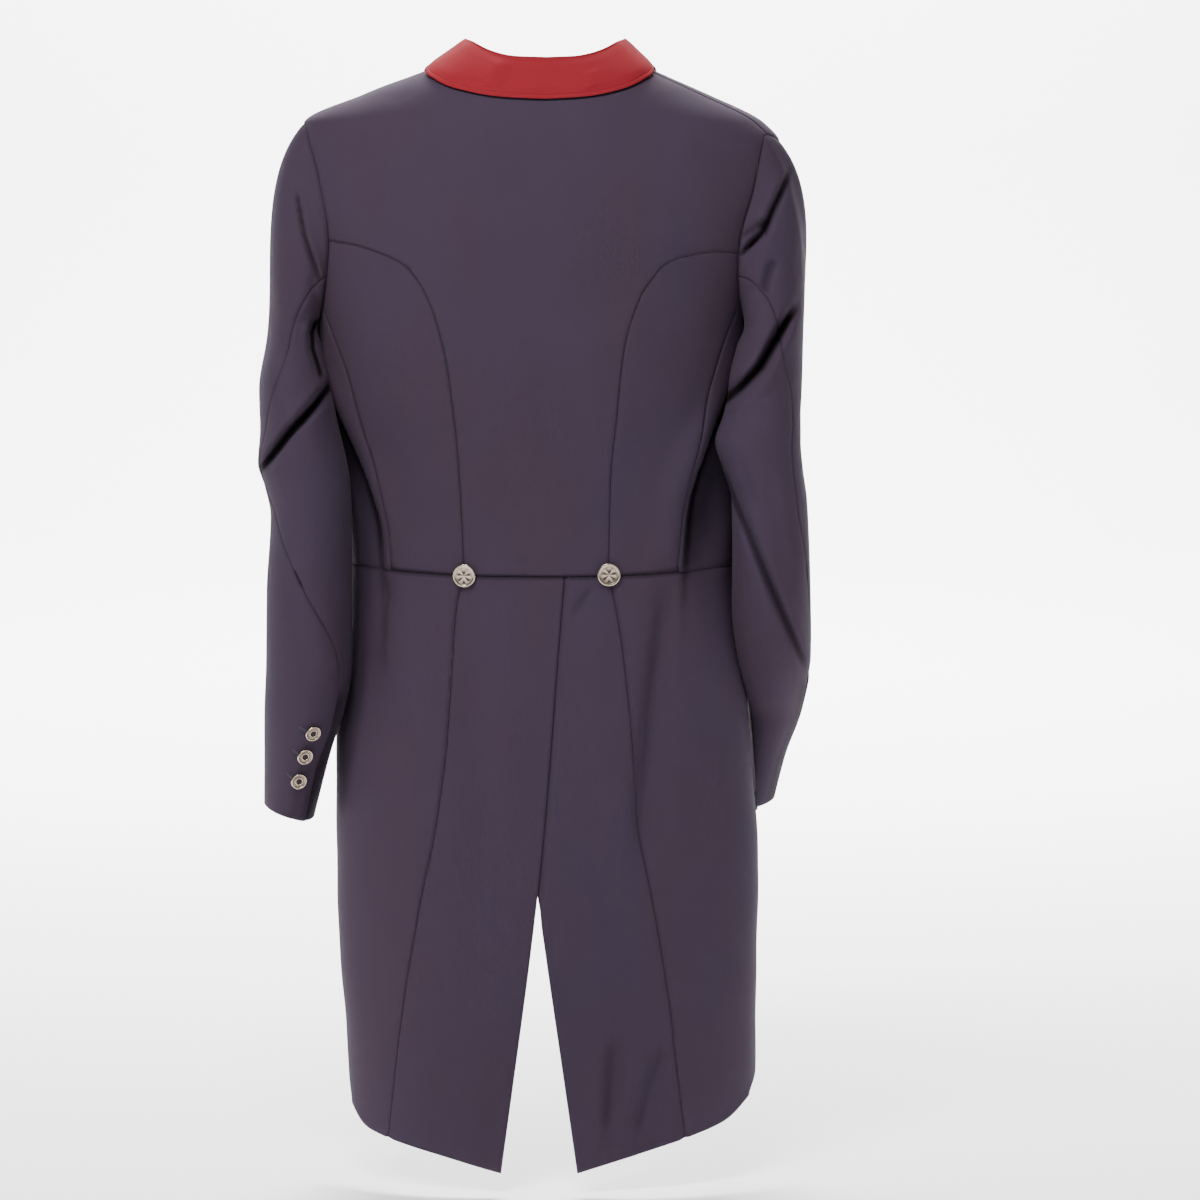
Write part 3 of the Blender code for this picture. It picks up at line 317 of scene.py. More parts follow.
def side_shade(points, normals):
    """How much painted shade the body gets beyond the side fold's line, where the arm keeps the
    light out.
    """
    x, z = points[:, 0], points[:, 2]
    most = np.where(x >= 0, SIDE_SHADE_MOST["left"], SIDE_SHADE_MOST["right"])
    beyond = np.abs(x) - np.where(x >= 0, *columns(SIDE_FOLD, z, 1, 2))
    dark = most * step(beyond / 1.5) + (1 - most) * np.exp(-(((beyond - 3) / 2.6) ** 2))
    return dark * columns(SIDE_SHADE, z, 1)[0] * step((normals[:, 1] + 0.5) / 0.4)


# %% [markdown]
# Cloth is never quite even. A few long low waves, no more than half a millimetre high, break up the
# light on it. They depend on the place alone, so they pass over a seam with no step.

# %% Low waves
WAVES = (
    (0.34, 0.071, 0.022, 0.4), (0.3, -0.046, 0.037, 2.1),
    (0.22, 0.105, -0.05, 4.0), (0.2, 0.033, 0.09, 1.2),
)


def low_waves(x, z):
    """The sum of four sine waves over the place, each with its own height, direction and start."""
    return sum(high * np.sin(across * x + down * z + start) for high, across, down, start in WAVES)


def body_point(angle, height, lift=0.0):
    """A point of the body: a squared oval whose halves have their own depths, moved out or in by
    the folds, which lie on the back half."""
    angle, height = np.broadcast_arrays(np.asarray(angle, float), np.asarray(height, float))
    widest, back, front = columns(BODY_RINGS, height, 3, 4, 5)
    turn = np.radians(angle)
    across, ahead = np.sin(turn), np.cos(turn)
    power = 2 / SQUARENESS
    x = body_half(height, across >= 0) * np.sign(across) * np.abs(across) ** power
    reach = np.where(ahead >= 0, back - widest, widest - front)
    y = widest + reach * np.sign(ahead) * np.abs(ahead) ** power
    move = side_fold(angle, height) + lift
    on_back = step((ahead + 0.1) / 0.4)
    move = move + low_waves(x, height)
    for depth, width, ridge, line in BODY_FOLDS:
        move = move + on_back * crease(x, height, line, depth, width, ridge)
    return np.stack([x + move * across, y + move * ahead, height], axis=-1)


def surface_normals(function, first, second, near=(0.4, 0.4)):
    """The direction that a surface of two numbers faces, from points a little to each side."""
    one = function(first + near[0], second) - function(first - near[0], second)
    two = function(first, second + near[1]) - function(first, second - near[1])
    return unit(np.cross(two, one))


def body_grid(grid, lift=None):
    """The points and the outward directions of a grid of (angle, height)."""
    angle, height = grid[..., 0], grid[..., 1]

    def at(a, h):
        return body_point(a, h, 0.0 if lift is None else lift(a, h))

    return at(angle, height), surface_normals(at, angle, height)


# %% [markdown]
# The armhole is an egg shaped line on the body. Cloth on both sides of it is thick in the same
# direction, so the sleeve's edge and the body's edge close on each other.

# %% Armholes
SHOULDER_SEAM = {"left": 84, "right": 72}
ARMHOLE_TOP_Z = {"left": -66, "right": -76}
ARMHOLE_LOW_Z = {"left": -250, "right": -246}
ARMHOLE_BACK = {"left": 25.5, "right": 27.0}
ARMHOLE_FRONT = {"left": 27.0, "right": 27.0}
# Every count of steps along a seam is a multiple of K.
K = 8
ARM_TURNS = {"left": (0, 97, 118, 140, 205, 238, 360), "right": (0, 103, 118, 138, 205, 238, 360)}
ARM_COUNTS = tuple(K * n for n in (6, 2, 2, 5, 2, 6))
ARM_NAMES = ("tip", "princess", "hind", "side", "chest", "fore", "end")
ARM_MARKS = dict(zip(ARM_NAMES, np.cumsum((0,) + ARM_COUNTS)))


def armhole(side, turn):
    """(angle, height) of the armhole seam at a turn round the arm: an egg shape, flattened so
    that its foot is round and its top meets the shoulder seam."""
    sign = SIGN[side]
    a = np.radians(turn)
    top, low = ARMHOLE_TOP_Z[side], ARMHOLE_LOW_Z[side]
    height = (top + low) / 2 + (top - low) / 2 * np.cos(a)
    lean = (90 - SHOULDER_SEAM[side]) * ((1 + np.cos(a)) / 2) ** 6
    across = np.abs(np.sin(a)) ** (0.7 + 0.2 * (1 + np.cos(a)))
    behind = np.sin(a) >= 0
    angle = 90 - lean - np.where(behind, ARMHOLE_BACK[side], -ARMHOLE_FRONT[side]) * across
    return np.stack([sign * angle, height], axis=-1)


def armhole_directions(side, turn):
    """The direction in which both walls are thick at the armhole seam: between the body's, which
    faces the arm, and the sleeve's, which faces away from the arm's axis."""
    sign = SIGN[side]
    a = np.radians(turn)
    outward = sign * (0.75 * np.cos(a / 2) ** 2 + 0.35 * np.abs(np.sin(a)))
    return unit(np.stack([outward, np.sin(a), np.cos(a)], axis=-1))


def arm_turns(side, start, end):
    """The turns of the armhole's points from one mark to another."""
    turns = ladder(ARM_TURNS[side], ARM_COUNTS)
    return turns[ARM_MARKS[start] : ARM_MARKS[end] + 1]


# %% [markdown]
# A sleeve is a row of ovals down a bent arm. Its head is a smooth curve from the armhole to the
# upper arm, as a set-in sleeve has. The creases at the elbow and the sleeve head are the deepest
# of the coat, and they lie on the back or on the front of the arm.

# %% The sleeves' sections and creases
# Each row is a height, how far out the arm's two sides are, its middle's y and its half depth.
SLEEVE_RINGS = {
    "left": (
        (-262, 249, 196, 8, 64), (-300, 254, 189, 31, 60), (-335, 253, 183, 36, 57),
        (-366, 255, 176, 38, 55), (-386, 249, 173, 38, 55), (-412, 244, 172, 38, 54),
        (-480, 248, 172, 38, 53), (-545, 249, 172, 40, 52), (-585, 251, 179, 36, 51),
        (-625, 252, 192, 24, 50), (-700, 254, 212, 6, 50),
    ),
    "right": (
        (-262, 229, 167, 18, 62), (-285, 228, 162, 32, 60), (-305, 227, 160, 40, 56),
        (-322, 226, 157, 46, 52), (-345, 226, 150, 51, 50), (-370, 228, 157, 50, 50),
        (-398, 232, 165, 44, 51), (-450, 235, 166, 34, 53), (-500, 237, 166, 20, 52),
        (-540, 238, 167, 2, 51), (-572, 235, 169, -20, 50), (-600, 231, 173, -46, 50),
        (-640, 218, 169, -64, 48), (-710, 202, 158, -84, 46),
    ),
}
BICEPS_Z = -262
CUFF_Z = {"left": -680, "right": -686}
CUFF_SLANT = {"left": 7, "right": 5}
# Each row is a height and the seam's turn there.
HIND_SEAM = {
    "left": (
        (-200, 118), (-262, 84), (-330, 40), (-380, 18), (-419, 40), (-475, 87), (-546, 139),
        (-600, 138), (-640, 130), (-700, 131),
    ),
    "right": (
        (-200, 118), (-262, 72), (-330, 40), (-400, 46), (-450, 30), (-510, 14), (-560, -4),
        (-620, -14), (-710, -20),
    ),
}
FORE_SEAM_ANGLE = 238
PRESS_CLEAR = 1.0
FOREARM_CLEAR = 1.2
SLEEVE_FOLDS = {
    # Each is: on the back (1) or the front (-1), depth, width, ridge, painted shade and line.
    "left": (
        # At the elbow, at the sleeve head, under the arm, two soft ones above, and three below.
        (1, 18, 4.6, 4, 1, ((178, -284), (191, -298), (201, -311), (221, -332), (247, -365), (257, -377))),
        (1, 4.5, 2.6, 1.5, 0.5, ((221, -124), (219, -128), (212, -165), (200, -200), (196, -210))),
        (1, 7, 2.8, 1.5, 1, ((192, -237), (203, -241), (206, -250), (205, -264), (196, -292))),
        (1, 2.5, 8, 2.5, 0, ((246, -236), (226, -240), (206, -246))),
        (1, 2, 4, 1, 0, ((206, -196), (202, -222), (199, -240))),
        (1, 2.5, 7, 1.5, 0, ((240, -262), (232, -300), (226, -330))),
        (1, 2, 9, 1, 0, ((236, -430), (216, -500), (206, -560))),
        (-1, 8, 9, 4, 0, ((252, -330), (222, -362), (186, -378))),
        (-1, 5, 11, 3, 0, ((250, -400), (215, -424), (180, -418))),
    ),
    "right": (
        # At the elbow, down the forearm, three at the sleeve head, a soft one, and two in front.
        (1, 18, 5.4, -4, 1,
         ((-224, -222), (-214, -238), (-190, -278), (-172, -297), (-155, -313), (-143, -338))),
        (1, 9, 4.2, 3, 0.6, ((-148, -348), (-172, -409), (-195, -463), (-229, -542), (-236, -560))),
        (1, 9, 3.6, 3, 0.8,
         ((-219, -102), (-215, -112), (-200, -144), (-193, -161), (-174, -179), (-166, -184))),
        (1, 5, 3.4, 1.5, 0.4, ((-198, -148), (-193, -153), (-171, -165), (-166, -168))),
        (1, 3.5, 5, 2, 0.25, ((-202, -184), (-197, -200), (-193, -216))),
        (1, 2, 8, 1, 0, ((-190, -352), (-200, -396), (-209, -434), (-221, -491))),
        (-1, 8, 9, 4, 0, ((-226, -318), (-200, -352), (-170, -366))),
        (-1, 5, 11, 3, 0, ((-230, -395), (-204, -418), (-180, -408))),
    ),
}


def sleeve_oval(side, turn, height):
    """A point of the arm's oval section at a height, before any crease."""
    sign = SIGN[side]
    outer, inner, middle_y, half_depth = columns(SLEEVE_RINGS[side], height, 1, 2, 3, 4)
    a = np.radians(turn)
    x = sign * ((outer + inner) / 2 + (outer - inner) / 2 * np.cos(a))
    return np.stack([x, middle_y + half_depth * np.sin(a), height + 0 * x], axis=-1)


def sleeve_creases(side, turn, x, z):
    """How far the creases move the sleeve's cloth, at a turn round the arm and a place."""
    a = np.radians(turn)
    out = 0.7 * low_waves(1.3 * x + 40 * np.sin(a), z)
    for facing, depth, width, ridge, _, line in SLEEVE_FOLDS[side]:
        out = out + step((facing * np.sin(a) - 0.04) / 0.36) * crease(x, z, line, depth, width, ridge)
    return out


def pressed(side, points, way):
    """Lays the sleeve flat against the body: a point that would come nearer to it than the
    clearance moves out sideways."""
    sign = SIGN[side]
    height = points[..., 2]
    widest, back, front = columns(BODY_RINGS, height, 3, 4, 5)
    ahead = points[..., 1] - widest
    reach = np.where(ahead >= 0, back - widest, widest - front)
    cosine = np.clip(np.abs(ahead) / reach, 0, 1) ** (SQUARENESS / 2)
    limit = body_half(height, sign > 0) * (1 - cosine**2) ** (1 / SQUARENESS)
    limit = limit + PRESS_CLEAR * step(way / 0.3) + FOREARM_CLEAR * step((way - 1.35) / 0.2)
    x = sign * np.maximum(sign * points[..., 0], limit)
    return np.stack([x, points[..., 1], height], axis=-1)


def sleeve_point(side, turn, way):
    """A point of the sleeve: way 0 to 1 is the head, a cubic curve from the armhole to the
    biceps that leaves the body sideways and ends straight down the arm, and 1 to 2 is the rest.
    The creases move it in or out, and then it is laid against the body."""
    turn, way = np.broadcast_arrays(np.asarray(turn, float), np.asarray(way, float))
    sign = SIGN[side]
    a = np.radians(turn)
    spot = armhole(side, turn)
    start = body_point(spot[..., 0], spot[..., 1])
    biceps = np.full(np.shape(a), float(BICEPS_Z))
    end = sleeve_oval(side, turn, biceps)
    span = np.linalg.norm(end - start, axis=-1, keepdims=True)
    down = unit(sleeve_oval(side, turn, biceps - 1) - end)
    lift = np.cos(a / 2) ** 2
    leave = unit(np.stack([sign * (0.35 + 0.33 * lift**2), 0.1 * np.sin(a), -0.75 - 0 * a], axis=-1))
    t = np.clip(way, 0, 1)[..., None]
    head = (1 + 2 * t) * (1 - t) ** 2 * start + t * (1 - t) ** 2 * span * leave
    head = head + t**2 * (3 - 2 * t) * end - t**2 * (1 - t) * span * down
    slant = CUFF_SLANT[side] * np.cos(a) * np.clip(way - 1, 0, 1)
    height = BICEPS_Z + (CUFF_Z[side] - BICEPS_Z) * np.clip(way - 1, 0, 1)
    rest = sleeve_oval(side, turn, height + slant)
    point = np.where(way[..., None] < 1, head, rest)
    out = sleeve_creases(side, turn, point[..., 0], point[..., 2]) * step(way / 0.16)
    outward = np.stack([0.2 * sign * np.cos(a), np.sin(a), 0 * a], axis=-1)
    return pressed(side, point + out[..., None] * outward, way)


def seam_turn(side, way):
    """The turn of the hind seam at each way down the sleeve, which starts at the armhole."""
    start = HIND_SEAM[side][0][0]
    head = start + (BICEPS_Z - start) * way
    rest = BICEPS_Z + (CUFF_Z[side] - BICEPS_Z) * (way - 1)
    return columns(HIND_SEAM[side], np.where(way < 1, head, rest), 1)[0]


# %% [markdown]
# Cloth is thin, but it isn't a surface: a coat's edge shows two layers turned in and pressed. Each
# panel is therefore a closed wall. Blender's Solidify could thicken a sheet, but it can't sink the
# cloth beside a seam or round a free edge and leave a seam's edge square, so this maker does it.

# %% From grids to walls of cloth
PANEL_THICK = 1.8
ROUND_EDGE = 0.9
SEWN_RISE = 0.15
FREE_FROM = 1
FREE_OVER = 3
SEAM_GAP = 0.2
WAIST_GAP = 0.45
# Painted shade beside the seams, and more beside the waist seam.
SEAM_SHADE = 0.15
WAIST_SHADE = 0.6
SEAM_CLOSE = -0.06
SEAM_DIP = 0.7
SEAM_REACH = 1.7
SEAM_SPACING = 1.2
WAIST_Z = -464
WAIST_NEAR = 9
WAIST_SEAM_NEAR = 6
CLOTH_SHARP = 1.15


def rim_shift(points, normals, rim):
    """For each point, the way in from the rim that clears both of its edges by one unit."""
    run = unit(points[rim[:, 1]] - points[rim[:, 0]])
    arriving, leaving = np.zeros_like(points), np.zeros_like(points)
    leaving[rim[:, 0]] = unit(np.cross(normals[rim[:, 0]], run))
    arriving[rim[:, 1]] = unit(np.cross(normals[rim[:, 1]], run))
    together = 1 + np.einsum("ij,ij->i", arriving, leaving)
    return (arriving + leaving) / np.clip(together, 0.4, None)[:, None]


def distance_to(points, lines):
    """How far each point is from the nearest of some lines, whose points are closely spaced."""
    if not lines:
        return np.full(len(points), 99.0)
    fine = []
    for line in lines:
        length = np.abs(np.diff(line, axis=0)).sum()
        fine.append(along(line, max(8, int(length / SEAM_SPACING))))
    ends = np.concatenate(fine)
    nearest = []
    for some in np.array_split(points, max(1, len(points) // 4000)):
        apart = (some**2).sum(1)[:, None] + (ends**2).sum(1)[None, :] - 2 * some @ ends.T
        nearest.append(np.sqrt(np.maximum(apart.min(axis=1), 0)))
    return np.concatenate(nearest)


def cloth_uv(grid):
    """Where each point lies on the flat cloth, in metres: the way along its row from the middle
    column, and the way down its column."""
    across = np.linalg.norm(np.diff(grid, axis=1), axis=2)
    u = np.concatenate([np.zeros((len(grid), 1)), np.cumsum(across, axis=1)], axis=1)
    down = np.linalg.norm(np.diff(grid, axis=0), axis=2)
    v = np.concatenate([np.zeros((1, grid.shape[1])), np.cumsum(down, axis=0)], axis=0)
    return np.stack([u - u[:, [u.shape[1] // 2]], v], axis=-1) * MM


def cells(index):
    """The four corners of each cell of a grid of point numbers."""
    corners = (index[:-1, :-1], index[:-1, 1:], index[1:, 1:], index[1:, :-1])
    return np.stack(corners, axis=-1).reshape(-1, 4)


def point_values(mesh, name, values):
    """Gives the mesh a number at each point, under a name that a material can read."""
    attribute = mesh.attributes.new(name, "FLOAT", "POINT")
    attribute.data.foreach_set("value", np.asarray(values, dtype=np.float32))


def mesh_object(name, points, faces, uv, materials, kinds, shade):
    """An object from arrays: points in millimetres, four-cornered faces, the uv of each corner,
    the material of each face and the shade of each point."""
    mesh = bpy.data.meshes.new(name)
    mesh.from_pydata((points * MM).tolist(), [], faces.tolist())
    layer = mesh.uv_layers.new(name="cloth")
    layer.data.foreach_set("uv", np.ascontiguousarray(uv, dtype=np.float32).ravel())
    point_values(mesh, "shade", shade)
    for material in materials:
        mesh.materials.append(material)
    mesh.polygons.foreach_set("material_index", np.asarray(kinds, dtype=np.int32))
    mesh.shade_smooth()
    mesh.set_sharp_from_angle(angle=CLOTH_SHARP)
    return placed(name, mesh)


def weld(patches):
    """The patches' grids as one: points, directions, faces and the uv of each corner."""
    points = np.concatenate([p.reshape(-1, 3) for p, _ in patches])
    normals = np.concatenate([n.reshape(-1, 3) for _, n in patches])
    flat = np.concatenate([cloth_uv(p).reshape(-1, 2) for p, _ in patches])
    quads, start = [], 0
    for grid, _ in patches:
        rows, columns = grid.shape[:2]
        index = start + np.arange(rows * columns).reshape(rows, columns)
        start += rows * columns
        quads.append(cells(index))
    quads = np.concatenate(quads)
    uv = flat[quads]
    _, first, index = np.unique(np.round(points, 3), axis=0, return_index=True, return_inverse=True)
    points, normals, quads = points[first], unit(normals[first]), index.reshape(-1)[quads]
    one, two, three, four = (points[quads[:, i]] for i in range(4))
    inward = np.einsum("ij,ij->i", np.cross(three - one, four - two), normals[quads].sum(axis=1)) < 0
    if inward.mean() > 0.5:
        quads, uv, inward = quads[:, ::-1], uv[:, ::-1], ~inward
    if inward.any():
        print("  cells that face the wrong way:", inward.sum())
    return points, normals, quads, uv


def shell(name, patches, seams, materials, shade=None):
    """A closed wall: the outer face sinks beside the seams, the inner face lies the thickness below,
    and between them runs a rim. It is round where the edge is free. Where it is sewn, it slants, so
    that two panels leave a dark groove between them outside and close on each other inside. The
    groove is dark from its depth and from painted shade: the sewn rim and the outer face beside a
    seam carry shade, most at the waist seam."""
    points, normals, quads, uv = weld(patches)
    sides = np.concatenate([quads[:, [i, (i + 1) % 4]] for i in range(4)])
    side_uv = np.concatenate([uv[:, [i, (i + 1) % 4]] for i in range(4)])
    count = len(points)
    alone = ~np.isin(sides[:, 0] * count + sides[:, 1], sides[:, 1] * count + sides[:, 0])
    rim, rim_uv = sides[alone], side_uv[alone]
    shift = rim_shift(points, normals, rim)
    away = distance_to(points, seams)
    dip = SEAM_DIP * np.exp(-((away / SEAM_REACH) ** 2))
    # Painted shade: the piece's own, from its creases or side folds, and more beside each seam, most at
    # the waist seam.
    dark = np.zeros(count) if shade is None else shade(points, normals)
    at_waist = step((WAIST_NEAR - np.abs(points[:, 2] - WAIST_Z)) / 2) * (away < WAIST_SEAM_NEAR)
    seam_shade = SEAM_SHADE + (WAIST_SHADE - SEAM_SHADE) * at_waist
    dark = np.maximum(dark, seam_shade * np.exp(-((away / SEAM_REACH) ** 2)))
    gap = SEAM_GAP + (WAIST_GAP - SEAM_GAP) * at_waist
    inner = points + SEAM_CLOSE * shift - PANEL_THICK * normals
    points = points + gap[:, None] * shift - dip[:, None] * normals
    ring = np.unique(rim)
    number = np.zeros(count, int)
    number[ring] = 2 * count + np.arange(len(ring))
    free = step((away[ring] - FREE_FROM) / FREE_OVER)[:, None]
    round_middle = (points + inner)[ring] / 2 - ROUND_EDGE * shift[ring]
    sewn_middle = inner[ring] + SEWN_RISE * PANEL_THICK * normals[ring]
    middle = free * round_middle + (1 - free) * sewn_middle
    a, b = rim.T
    upper = np.stack([b, a, number[a], number[b]], axis=1)
    lower = np.stack([number[b], number[a], a + count, b + count], axis=1)
    faces = np.concatenate([quads, quads[:, ::-1] + count, upper, lower])
    turned = rim_uv[:, [1, 0, 0, 1]]
    everything_uv = np.concatenate([uv, uv[:, ::-1], turned, turned])
    kinds = np.zeros(len(faces), int)
    kinds[len(quads) : 2 * len(quads)] = 1
    # The outer face keeps its painted shade, the inner face has none, and a sewn rim is painted dark.
    shades = np.concatenate([dark, 0 * dark, 1 - free[:, 0]])
    points = np.concatenate([points, inner, middle])
    obj = mesh_object(name, points, faces, everything_uv, materials, kinds, shades)
    return obj


# %% [markdown]
# The coat is a fine, smooth twill with a little stretch, in a charcoal navy that leans to purple.
# Its weave is about half a millimetre, so from a step away it only softens the light; close by
# it shows slanting ribs. The dye looks faintly uneven, bluer here and redder there. Each effect is
# a node group, made once and set differently for the coat, the collar and the lining.

# %% Shader groups
def new_group(name, inputs, outputs):
    """An empty shader group with its sockets: (name, kind, value) going in, (name, kind) going out."""
    tree = bpy.data.node_groups.new(name, "ShaderNodeTree")
    for label, kind, value in inputs:
        socket = tree.interface.new_socket(label, in_out="INPUT", socket_type=f"NodeSocket{kind}")
        if value is not None:
            socket.default_value = value
    for label, kind in outputs:
        tree.interface.new_socket(label, in_out="OUTPUT", socket_type=f"NodeSocket{kind}")
    return tree, tree.nodes.new("NodeGroupInput"), tree.nodes.new("NodeGroupOutput")


def node(tree, kind, sockets=(), **options):
    """Adds a node with its options, and gives each named socket a value or joins it to another
    one. What comes back are the node's outputs."""
    made = tree.nodes.new(f"ShaderNode{kind}")
    for key, value in options.items():
        setattr(made, key, value)
    for key, value in dict(sockets).items():
        if isinstance(value, bpy.types.NodeSocket):
            tree.links.new(value, made.inputs[key])
        else:
            made.inputs[key].default_value = value
    return made.outputs


def twill_group():
    """Slanting ribs crossed by finer threads, on the cloth's own uv in metres, with a little fuzz."""
    tree, start, end = new_group(
        "twill",
        (("Cloth", "Vector", None), ("Ribs", "Float", 300.0), ("Fuzz", "Float", 0.35)),
        (("Height", "Float"),),
    )
    cloth = start.outputs["Cloth"]
    turned = node(tree, "Mapping", {"Vector": cloth, "Rotation": (0, 0, 1.05)})
    wave = {"Distortion": 0.6, "Detail": 1.0, "Detail Scale": 2.0}
    wave.update({"Vector": turned[0], "Scale": start.outputs["Ribs"]})
    ribs = node(tree, "TexWave", wave, wave_type="BANDS", bands_direction="X")
    fuzz = node(tree, "TexNoise", {"Vector": cloth, "Scale": 1300.0, "Detail": 3.0})
    both = {"Factor": start.outputs["Fuzz"], "A": ribs["Fac"], "B": fuzz["Fac"]}
    mixed = node(tree, "Mix", both, data_type="FLOAT")
    tree.links.new(mixed["Result"], end.inputs["Height"])
    return tree


def dye_group():
    """A colour that drifts between two shades over a hand's breadth, with a fine fleck of threads."""
    grey = (0.1, 0.1, 0.1, 1)
    tree, start, end = new_group(
        "dye",
        (
            ("Place", "Vector", None), ("Cloth", "Vector", None), ("One shade", "Color", grey),
            ("Other shade", "Color", grey), ("Fleck", "Float", 0.12),
        ),
        (("Color", "Color"), ("Worn", "Float")),
    )
    given = start.outputs
    drawn = node(tree, "Mapping", {"Vector": given["Place"], "Scale": (1.0, 1.0, 0.4)})
    broad = node(tree, "TexNoise", {"Vector": drawn[0], "Scale": 16.0, "Detail": 2.0, "Roughness": 0.45})
    spread = node(tree, "MapRange", {"Value": broad["Fac"], "From Min": 0.34, "From Max": 0.66})
    shades = {"Factor": spread[0], "A": given["One shade"], "B": given["Other shade"]}
    shade = node(tree, "Mix", shades, data_type="RGBA")
    grain = node(tree, "TexNoise", {"Vector": given["Cloth"], "Scale": 900.0, "Detail": 2.0})
    lighter = node(tree, "MapRange", {"Value": grain["Fac"], "To Min": 0.75, "To Max": 1.25})
    flecks = {"Factor": given["Fleck"], "A": shade["Result"], "B": lighter[0]}
    fleck = node(tree, "Mix", flecks, data_type="RGBA", blend_type="MULTIPLY")
    tree.links.new(fleck["Result"], end.inputs["Color"])
    tree.links.new(broad["Fac"], end.inputs["Worn"])
    return tree


TWILL = twill_group()
DYE = dye_group()
print("groups:", TWILL.name, DYE.name)

# %% [markdown]
# A cloth material joins the two groups to Blender's Principled shader. Its sheen is the soft glow
# that raised fibres give a woollen cloth at a slant, and it is set on the shader's own socket. The
# mesh's painted shade turns the dye to near black in creases, in seams and under the arms.

# %% Cloth materials
# The near black that the painted shade mixes into the dye.
DEEP_SHADE = (0.003, 0.002, 0.003, 1)


def new_material(name, sockets):
    """A material, its nodes, and the inputs of its Principled shader, some of them set."""
    material = bpy.data.materials.new(name)
    material.use_nodes = True
    shader = material.node_tree.nodes["Principled BSDF"].inputs
    for key, value in sockets.items():
        shader[key].default_value = value
    return material, material.node_tree, shader


def cloth_material(name, one, other, ribs, fuzz, relief, rough, sheen, tint, fleck=0.3):
    """Cloth of two shades of dye: ribs a metre, how fuzzy and how raised they are, how rough the
    cloth is, the amount and tint of its sheen, and how strongly its threads differ."""
    shine = {"Sheen Weight": sheen, "Sheen Roughness": 0.45, "Sheen Tint": (*tint, 1)}
    material, tree, shader = new_material(name, {**shine, "Specular IOR Level": 0.06})
    where = node(tree, "TexCoord")
    shades = {"One shade": (*one, 1), "Other shade": (*other, 1), "Fleck": fleck}
    places = {"Place": where["Object"], "Cloth": where["UV"]}
    dye = node(tree, "Group", {**shades, **places}, node_tree=DYE)
    twill = node(tree, "Group", {"Ribs": ribs, "Fuzz": fuzz, "Cloth": where["UV"]}, node_tree=TWILL)
    bump = node(tree, "Bump", {"Height": twill["Height"], "Strength": relief, "Distance": 0.0003})
    worn = {"Value": dye["Worn"], "To Min": rough - 0.05, "To Max": rough + 0.05}
    matte = node(tree, "MapRange", worn)
    # Painted shade: the mesh's shade mixes the dye towards near black in creases, seams and under the
    # arms.
    shade = node(tree, "Attribute", attribute_name="shade")
    darker = {"Factor": shade["Fac"], "A": dye["Color"], "B": DEEP_SHADE}
    dye_with_painted_shade = node(tree, "Mix", darker, data_type="RGBA")
    tree.links.new(dye_with_painted_shade["Result"], shader["Base Color"])
    tree.links.new(matte[0], shader["Roughness"])
    tree.links.new(bump["Normal"], shader["Normal"])
    return material


COAT = cloth_material(
    "navy_twill", (0.043, 0.031, 0.052), (0.046, 0.030, 0.048),
    ribs=300.0, fuzz=0.35, relief=0.35, rough=0.8, sheen=0.03, tint=(0.85, 0.72, 0.9),
)
RED = cloth_material(
    "red_facing", (0.24, 0.017, 0.025), (0.23, 0.016, 0.023),
    ribs=520.0, fuzz=0.5, relief=0.25, rough=0.85, sheen=0.0, tint=(1.0, 0.35, 0.35), fleck=0.15,
)
LINING = cloth_material(
    "lining_satin", (0.030, 0.028, 0.042), (0.034, 0.030, 0.044),
    ribs=900.0, fuzz=0.2, relief=0.12, rough=0.42, sheen=0.05, tint=(0.8, 0.8, 0.9), fleck=0.1,
)
print("cloths:", COAT.name, RED.name, LINING.name)

# %% [markdown]
# The waist seam runs all round, a little higher at the sides, and the neck edge follows the foot of
# the neck. The counts below say how finely each seam is divided: eight times as finely as the
# solids, which puts a point about every three millimetres.

# %% Seams of the body
NECK_LINE = (
    (0, -34), (14, -28), (30, -19), (50, -9), (70, -4), (90, -3), (115, -6), (139, -15), (155, -31),
    (164, -44),
)
PRINCESS_UPRIGHT = {
    "left": ((71, -464), (75, -383), (84, -286), (94, -239), (105, -212), (118, -193)),
    "right": ((-56, -464), (-58, -379), (-63, -325), (-70, -260), (-84, -217), (-101, -192)),
}
PRINCESS_TOP = {
    "left": ((118, -193), (128, -185), (141, -178), (156, -172), (174, -169)),
    "right": ((-101, -192), (-112, -184), (-123, -180), (-136, -177), (-150, -178)),
}
SIDE_SEAM = {
    "left": ((136, -460), (138, -418), (150, -344), (158, -297), (170, -267)),
    "right": ((-117, -460), (-119, -425), (-128, -354), (-142, -285), (-154, -256)),
}
WAIST_POINT = 22
TAIL_FRONT_ANGLE = 104
PRINCESS_ROWS = 10 * K
PRINCESS_STEPS = 4 * K
SIDE_ROWS = 6 * K
BACK_COLUMNS = 8 * K
NECK_COLUMNS = BACK_COLUMNS + 2 * PRINCESS_STEPS
SHOULDER_STEPS = 5 * K
# A drawn seam is divided so many times more finely before it is bent to meet the armhole.
FINER = 3
ARMHOLE_LINE = 4


def waist_z(angle):
    """The waist seam: it rises a little to the sides, and the fronts end in a shallow point."""
    ahead = np.clip((np.abs(angle) - TAIL_FRONT_ANGLE) / (180 - TAIL_FRONT_ANGLE), 0, 1)
    return WAIST_Z + 6 * np.sin(np.radians(angle)) ** 2 - WAIST_POINT * ahead**1.5


def neck_z(angle):
    """The height of the neck edge at an angle."""
    return columns(NECK_LINE, np.abs(angle), 1)[0]


def waist_between(start, end, count):
    """The waist seam from one angle to another."""
    angles = np.linspace(start, end, count + 1)
    return np.stack([angles, waist_z(angles)], axis=-1)


